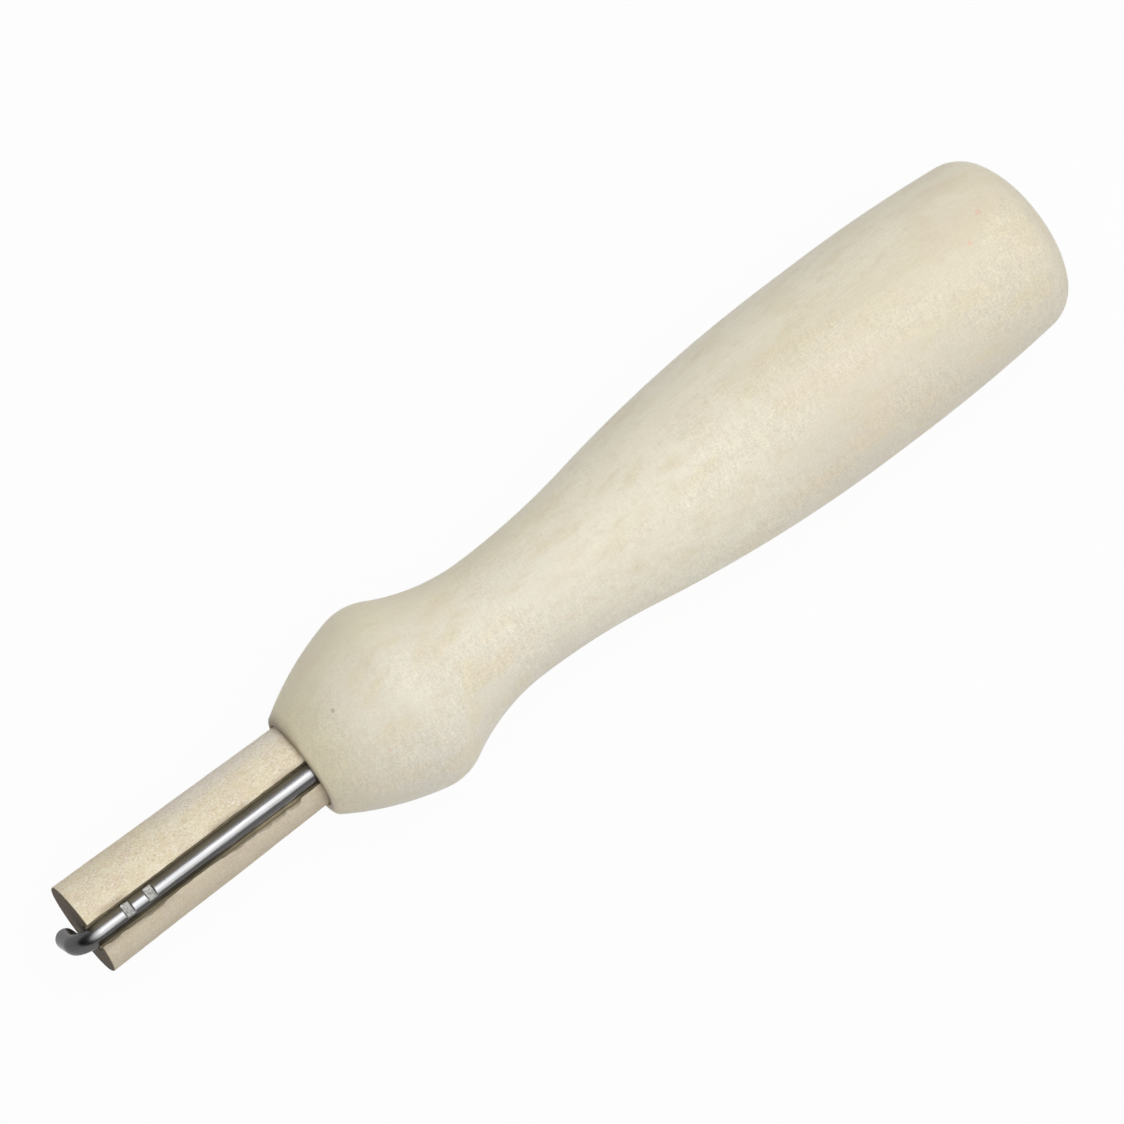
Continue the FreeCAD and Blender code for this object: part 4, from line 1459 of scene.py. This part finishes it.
@dataclass
class FeltingNeedle:
    """Cranked felting needle: wire with two gauge notches, a thinner neck, a barbed blade.

    Lengths along it start at the point and follow its middle line through the bend.
    """

    point: float
    crank_side: float
    axis_side: float
    axis_height: float
    crank_lean: float = 28.3
    wire: float = 0.915
    bend: float = 1.83
    crank_length: float = 4.47
    end_round: float = 0.25
    neck: float = 0.6
    neck_start: float = 26.5
    neck_end: float = 35.7
    shank_start: float = 38.2
    blade_length: float = 24.0
    blade_overlap: float = 1.7
    root: float = 0.17
    corner_reach: float = 0.4
    corner_round: float = 0.06
    tip_length: float = 4.5
    tip_radius: float = 0.05
    barb_depth: float = 0.07
    barb_length: float = 0.55
    barb_first: float = 6.0
    barb_pitch: float = 3.6
    barbs_per_corner: int = 3
    barbs_end: float = 17.0
    corners: int = 3
    notches_from: float = 66.0
    notches_to: float = 71.6
    notch_middles: tuple[float, float] = (67.9, 70.2)
    notch_width: float = 0.85
    notch_depth: float = 0.18
    burr: float = 0.1
    columns: int = 72
    crease: float = 40

    def straight_length(self) -> float:
        """Length of the shank, from the point to where the bend starts."""
        return self.crank_side - self.wire - self.bend - self.point

    def bend_length(self) -> float:
        """Length of the bend's middle line, a quarter of a circle."""
        return self.bend * math.pi / 2

    def full_length(self) -> float:
        """Length of the whole middle line."""
        return self.straight_length() + self.bend_length() + self.crank_length - self.bend

    def rows(self) -> Array:
        """Lengths at which there is a row of points, close together where the shape changes.

        Returns:
            Lengths in rising order.
        """
        bend_start = self.straight_length()
        bend_end = bend_start + self.bend_length()
        turn = np.linspace(0, np.pi / 2, 8)
        parts = [
            np.linspace(0, self.tip_length, 46),
            np.arange(self.tip_length, self.barbs_end, 0.07),
            np.arange(self.barbs_end, self.shank_start + 0.4, 0.25),
            np.arange(self.shank_start + 0.4, self.notches_from, 0.5),
            np.arange(self.notches_from, self.notches_to, 0.04),
            np.linspace(self.notches_to, bend_start, 8),
            np.linspace(bend_start, bend_end, 36),
            np.linspace(bend_end, self.full_length() - self.end_round, 20),
            self.full_length() - self.end_round * (1 - np.sin(turn)),
        ]
        return np.unique(np.concatenate(parts).round(6))

    def blade(self, angle: Array) -> Array:
        """Distance from the axis to a triangle with rounded corners, the first one upwards.

        Near a corner it is the corner's circle: c cos a + square root of (r^2 - (c sin a)^2),
        with a measured from the corner and c the distance to that circle's centre. Elsewhere
        it is the flat: its distance from the axis over the cosine of (60 degrees - a).

        Args:
            angle: angles round the axis, in radians.

        Returns:
            Distances in millimetres.
        """
        sector = 2 * np.pi / self.corners
        turned = np.abs((angle + sector / 2) % sector - sector / 2)
        centre = self.corner_reach - self.corner_round
        flat = (centre / 2 + self.corner_round) / np.cos(sector / 2 - turned)
        rise = self.corner_round * math.sin(sector / 2)
        limit = math.atan2(rise, centre + self.corner_round * math.cos(sector / 2))
        under = np.clip(self.corner_round**2 - (centre * np.sin(turned)) ** 2, 0, None)
        return np.where(turned < limit, centre * np.cos(turned) + np.sqrt(under), flat)

    def barb_cuts(self, along: Array, angle: Array, reach: Array) -> Array:
        """Cuts the barbs into the blade's corners.

        A cut is a plane across the corner, and it sinks evenly over the barb's length, then
        stops at a steep wall: reach is at most (corner - depth) / cosine of the angle from it.

        Args:
            along: length of each row, shaped rows, 1.
            angle: angles, shaped 1, columns.
            reach: the blade's distances from its axis, shaped rows, columns.

        Returns:
            The distances after the cuts.
        """
        for corner in range(self.corners):
            middle = 2 * np.pi * corner / self.corners
            off = (angle - middle + np.pi) % (2 * np.pi) - np.pi
            for barb in range(self.barbs_per_corner):
                wall = self.barb_first + (barb + corner / self.corners) * self.barb_pitch
                share = (along - wall + self.barb_length) / self.barb_length
                inside = (share > 0) & (share <= 1) & (np.abs(off) < np.pi / self.corners)
                plane = (self.corner_reach - self.barb_depth * share) / np.cos(np.clip(off, -1.2, 1.2))
                reach = np.where(inside, np.minimum(reach, plane), reach)
        return reach

    def notches(self, along: Array, angle: Array, reach: Array) -> tuple[Array, Array]:
        """Presses the gauge notches into the shank's top, and raises the metal at their ends.

        A notch is a flat that faces +Z: reach is at most (wire - depth) / cosine of the angle
        from +Z. The burr is a small swell where the flat meets the round, lower on one side.

        Args:
            along: length of each row, shaped rows, 1.
            angle: angles, shaped 1, columns.
            reach: distances from the axis, shaped rows, columns.

        Returns:
            The distances, and how much of each point is in a cut, from 0 to 1.
        """
        off = angle + math.radians(self.crank_lean)
        off = (off + np.pi) % (2 * np.pi) - np.pi
        marked = np.zeros_like(reach)
        edge = math.acos(1 - self.notch_depth / self.wire)
        for middle in self.notch_middles:
            gap = np.abs(along - middle)
            window = ease(gap, self.notch_width / 2 + 0.06, self.notch_width / 2 - 0.03)
            grooves = 0.02 * np.sin(along * 19.0 + 3.0 * off) * window
            plane = (self.wire - self.notch_depth * window + grooves) / np.cos(np.clip(off, -1.3, 1.3))
            lower = np.minimum(reach, plane)
            swelling = np.exp(-((np.abs(off) - edge - 0.1) / 0.16) ** 2)
            brow = ease(gap, self.notch_width / 2 + 0.2, self.notch_width / 2 - 0.15)
            uneven = 0.5 + swell(np.stack([along + 0 * off, 3 * np.sin(off) + 0 * along,
                                           3 * np.cos(off) + 0 * along], -1), (0.3, 0.6, 0.6), 61)
            marked = np.maximum(marked, window * ease(np.abs(off), edge + 0.12, edge - 0.1))
            reach = lower + self.burr * swelling * brow * uneven * (1 - 0.6 * (off > 0))
        return reach, marked

    def notch_rim_shade(self, along: Array, turned: Array) -> Array:
        """Painted shade as a dark line round each notch: e to the power of -(distance from its rim /
        width)^2.

        Args:
            along: length of each point, shaped rows, columns, 1.
            turned: angles in degrees from the crank's plane, shaped 1, columns.

        Returns:
            How dark each point is, from 0 to 1.
        """
        off = np.abs((turned + self.crank_lean + 180) % 360 - 180)
        edge = math.degrees(math.acos(1 - self.notch_depth / self.wire))
        dark = np.zeros(along.shape[:2])
        for middle_line in self.notch_middles:
            gap = np.abs(along[..., 0] - middle_line)
            ends = np.exp(-(((gap - self.notch_width / 2) / 0.055) ** 2)) * ease(off, edge + 8, edge)
            low = np.exp(-(((off - edge - 3) / 5) ** 2)) * ease(gap, self.notch_width / 2 + 0.05,
                                                                self.notch_width / 2 - 0.05)
            low = low * (turned + self.crank_lean > 0)
            dark = np.maximum(dark, np.maximum(ends, low))
        return dark

    def painted_shade(self, angle: Array, cut: Array, along: Array) -> Array:
        """Painted dark reflection on one flank, and painted shade round the notches.

        It comes in over the wire's top in two steps, and thins out down that flank.

        Args:
            angle: angles, shaped 1, columns.
            cut: how much of each point is in a notch.
            along: length of each point, shaped rows, columns, 1.

        Returns:
            How dark each point is, from 0 to 1.
        """
        turned = (np.degrees(angle) + 180) % 360 - 180
        painted_flank = 0.5 * ease(turned, -24.0, -8.0) + 0.5 * ease(turned, -2.0, 12.0)
        painted_flank = painted_flank * (1 - 0.6 * ease(turned, 28.0, 45.0))
        painted_flank = painted_flank * ease(np.abs(turned), 150.0, 90.0) + np.zeros_like(cut)
        return np.maximum(painted_flank * (1 - cut), self.notch_rim_shade(along, turned))

    def reach(self, along: Array, angle: Array) -> tuple[Array, Array]:
        """Distance of the surface from the middle line, at each length and angle.

        Args:
            along: length of each row, shaped rows, 1.
            angle: angles, shaped 1, columns, from the top of the crank's plane.

        Returns:
            The distances, and how much of each point is in a notch.
        """
        blade = self.barb_cuts(along, angle, self.blade(angle) + 0 * along)
        tip_share = self.tip_radius / self.corner_reach
        blade = blade * (tip_share + (1 - tip_share) * np.clip(along / self.tip_length, 0, 1))
        blade = np.where(along > self.blade_length + self.blade_overlap, 0, blade)
        root = np.interp(along, (self.blade_length, self.neck_start, self.neck_end,
                                 self.shank_start), (self.root, self.neck, self.neck, self.wire))
        root = np.where(along < self.blade_length, 0, root)
        plain = np.maximum(blade, root)
        return self.notches(along, angle, plain)

    def frame(self, along: Array) -> tuple[Array, Array]:
        """Middle line and its 'up' at each length.

        Along the shank the line runs along X, and up is square to it in the crank's plane, E.
        Round the bend, by an angle t, the line is the bend's centre + bend (E cos t + X sin t),
        and up is E cos t + X sin t. Down the crank the line runs along -E and up is X.

        Args:
            along: lengths, one per row.

        Returns:
            Points on the line and up directions, each shaped rows, 3.
        """
        lean = math.radians(self.crank_lean)
        opening = np.array([0, math.sin(lean), math.cos(lean)])
        forward = np.array([1.0, 0, 0])
        straight = np.minimum(along, self.straight_length())
        turn = np.clip((along - self.straight_length()) / self.bend, 0, np.pi / 2)[:, None]
        down = np.clip(along - self.straight_length() - self.bend_length(), 0, None)[:, None]
        up = opening * np.cos(turn) + forward * np.sin(turn)
        origin = np.array([self.point, self.axis_side, self.axis_height])
        centre = origin + forward * straight[:, None] - opening * self.bend
        return centre + up * self.bend - opening * down, up

    def build(self) -> bpy.types.Object:
        """Carries the changing section along the middle line and closes both ends.

        Returns:
            The needle.
        """
        lengths = self.rows()
        angle = np.linspace(0, 2 * np.pi, self.columns, endpoint=False)[None]
        reach, marked = self.reach(lengths[:, None], angle)
        to_end = np.clip((lengths - self.full_length()) / self.end_round + 1, 0, 1)[:, None]
        reach = reach - self.end_round * (1 - np.sqrt(1 - to_end**2))
        line, up = self.frame(lengths)
        lean = math.radians(self.crank_lean)
        side = np.array([0, math.cos(lean), -math.sin(lean)])
        out = np.cos(angle)[..., None] * up[:, None] + np.sin(angle)[..., None] * side
        grid = line[:, None] + reach[..., None] * out
        start, end = np.repeat(line[:1, None], self.columns, 1), np.repeat(line[-1:, None],
                                                                         self.columns, 1)
        nearly = 0.5 * (grid[-1:] + end)
        grid = np.concatenate([start, grid, nearly, end])
        flat = np.stack([np.broadcast_to(lengths[:, None], reach.shape), reach * np.cos(angle),
                         reach * np.sin(angle)], -1)
        flat, cut = capped(flat) * MM, capped(marked)
        bend_start = self.straight_length()
        # Bend and crank darkened: blued tone and painted dark reflection, which ends the shank's
        # highlight.
        tint = capped(ease(lengths, bend_start - 0.5, bend_start + 0.6)[:, None] + 0 * reach)
        # Painted dark reflection on one flank and painted shade round the notches.
        painted_shade = self.painted_shade(angle, cut, flat[..., :1] / MM)
        skin = Skin("cranked_needle")
        skin.add(grid, True, {Mask.STRAIGHT: flat, Mask.CUT: cut, Mask.TINT_AND_SHADE: tint,
                              Mask.SOIL_AND_SHADE: painted_shade})
        return skin.build(self.crease)

    def make(self, finish: DrawnSteel) -> None:
        """Builds, dresses and places the needle on its body."""
        piece = self.build()
        piece.data.materials.append(finish.material())
        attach(piece, "needle")
        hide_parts("felting_needle")


# ---------------------------------------------------------------- the studio


@dataclass
class Studio:
    """Paper sweep, dim room, one large soft lamp and the camera."""

    aim: tuple[float, float, float] = (-1.80, -0.80, 8.45)
    azimuth: float = 140.31
    elevation: float = 76.46
    roll: float = 1.87
    distance: float = 1.2
    view_width: float = 0.09391
    sensor: float = 36.0
    room_light: float = 0.45
    room_dark_end: float = 0.06
    lamp_distance: float = 1.3
    lamp_size: float = 1.7
    lamp_power: float = 13.6
    lamp_right: float = 0.2
    lamp_up: float = 0.15
    floor_radius: float = 2.2
    sweep_radius: float = 1.4

    def axes(self) -> tuple[Vector, Vector, Vector]:
        """Camera's right, up and back directions, after its small roll.

        Returns:
            Three unit vectors.
        """
        turn, tilt = math.radians(self.azimuth), math.radians(self.elevation)
        back = Vector((math.sin(turn) * math.cos(tilt), -math.cos(turn) * math.cos(tilt),
                       math.sin(tilt)))
        level = Vector((math.cos(turn), math.sin(turn), 0.0))
        right = Quaternion(back, math.radians(self.roll)) @ level
        return right, back.cross(right), back

    def camera(self) -> None:
        """Sets the camera at the viewing angle, with a long lens."""
        data = bpy.data.cameras.new("camera")
        data.sensor_width = self.sensor
        data.lens = self.sensor * self.distance / self.view_width
        data.clip_start, data.clip_end = 0.05, 50.0
        camera = put("camera", data)
        right, up, back = self.axes()
        camera.location = Vector(self.aim) * MM + back * self.distance
        camera.rotation_mode = "QUATERNION"
        camera.rotation_quaternion = Matrix((right, up, back)).transposed().to_quaternion()
        bpy.context.scene.camera = camera

    def lamp(self) -> None:
        """Hangs the soft lamp near the camera's line, towards the butt."""
        right, up, back = self.axes()
        way = (back + right * self.lamp_right + up * self.lamp_up).normalized()
        data = bpy.data.lights.new("soft_lamp", "AREA")
        data.shape, data.size, data.energy = "DISK", self.lamp_size, self.lamp_power
        lamp = put("soft_lamp", data)
        lamp.location = way * self.lamp_distance
        lamp.rotation_mode = "QUATERNION"
        lamp.rotation_quaternion = (-way).to_track_quat("-Z", "Y")

    def room(self) -> None:
        """Fills the room with dim light that fades towards the end that the crank points at."""
        world = bpy.data.worlds.new("room")
        bpy.context.scene.world = world
        world.use_nodes = True
        bench = Bench(world.node_tree)
        background = world.node_tree.nodes["Background"]
        way = bench.node("ShaderNodeSeparateXYZ",
                         {0: bench.node("ShaderNodeTexCoord").outputs["Generated"]})
        strength = bench.ramp(way.outputs["X"], 0.0, 0.8, self.room_light, self.room_dark_end)
        background.inputs["Color"].default_value = (1.0, 1.0, 1.0, 1.0)
        bench.feed(background.inputs["Strength"], strength)

    def floor(self, finish: PaperSweep) -> None:
        """Lays the paper: flat to a circle, then up in a quarter circle all round.

        Args:
            finish: the paper's finish.
        """
        turn = np.linspace(0, 2 * np.pi, 97)[None]
        flat = np.array([0.0, 0.05, 0.1, 0.2, 0.4, 0.8, 1.4, self.floor_radius])
        rise = np.linspace(0, np.pi / 2, 25)[1:]
        reach = np.concatenate([flat, self.floor_radius + self.sweep_radius * np.sin(rise)])[:, None]
        height = np.concatenate([0 * flat, self.sweep_radius * (1 - np.cos(rise))])[:, None]
        grid = np.stack([reach * np.cos(turn), reach * np.sin(turn), height + 0 * turn], -1)
        rows, columns = grid.shape[:2]
        faces = quads(np.arange(rows * columns).reshape(rows, columns))
        mesh = bpy.data.meshes.new("paper_sweep")
        mesh.from_pydata(grid.reshape(-1, 3).tolist(), [], faces.tolist())
        mesh.shade_smooth()
        sweep = put("paper_sweep", mesh)
        mesh.materials.append(finish.material())

    def make(self, finish: PaperSweep) -> None:
        """Sets up the floor, the light and the camera."""
        self.floor(finish)
        self.room()
        self.lamp()
        self.camera()
        bpy.context.scene.view_settings.view_transform = "Standard"


# ---------------------------------------------------------------- the whole


def middle(low: Vector, high: Vector, axis: int) -> float:
    """Middle of a box along one axis, in millimetres."""
    return (low[axis] + high[axis]) / 2 / MM


def main() -> None:
    """Loads the frame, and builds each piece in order."""
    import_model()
    handle_low, handle_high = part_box("handle")
    plug_low, plug_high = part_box("slotted_plug")
    needle_low, needle_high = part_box("felting_needle")
    axis_height = round(middle(handle_low, handle_high, 2), 3)
    mouth = handle_high[0] / MM
    effects = EffectLibrary()

    handle = TurnedHandle(mouth=mouth, axis_height=axis_height)
    handle.make(SandedMaple("sanded_maple", effects))
    LOG.info("handle built, %.1f mm long", handle.length)

    plug = SlottedPlug(inner_end=plug_low[0] / MM, outer_end=plug_high[0] / MM,
                       axis_side=handle.bore_offset, axis_height=axis_height, mouth=mouth)
    plug.make(RawDowel("raw_dowel", effects))
    LOG.info("plug built, %.1f mm long", plug.outer_end - plug.inner_end)

    seat = plug.slot_offset * plug.side() + plug.needle_height * plug.up()
    needle = FeltingNeedle(point=needle_low[0] / MM, crank_side=needle_high[0] / MM,
                           axis_side=plug.axis_side + float(seat[0]),
                           axis_height=axis_height + float(seat[1]))
    needle.make(DrawnSteel("drawn_steel", effects))
    LOG.info("needle built, %.1f mm of wire", needle.full_length())

    Studio().make(PaperSweep("paper", effects))


if __name__ == "__main__":
    logging.basicConfig(level=logging.INFO, format="%(message)s")
    main()
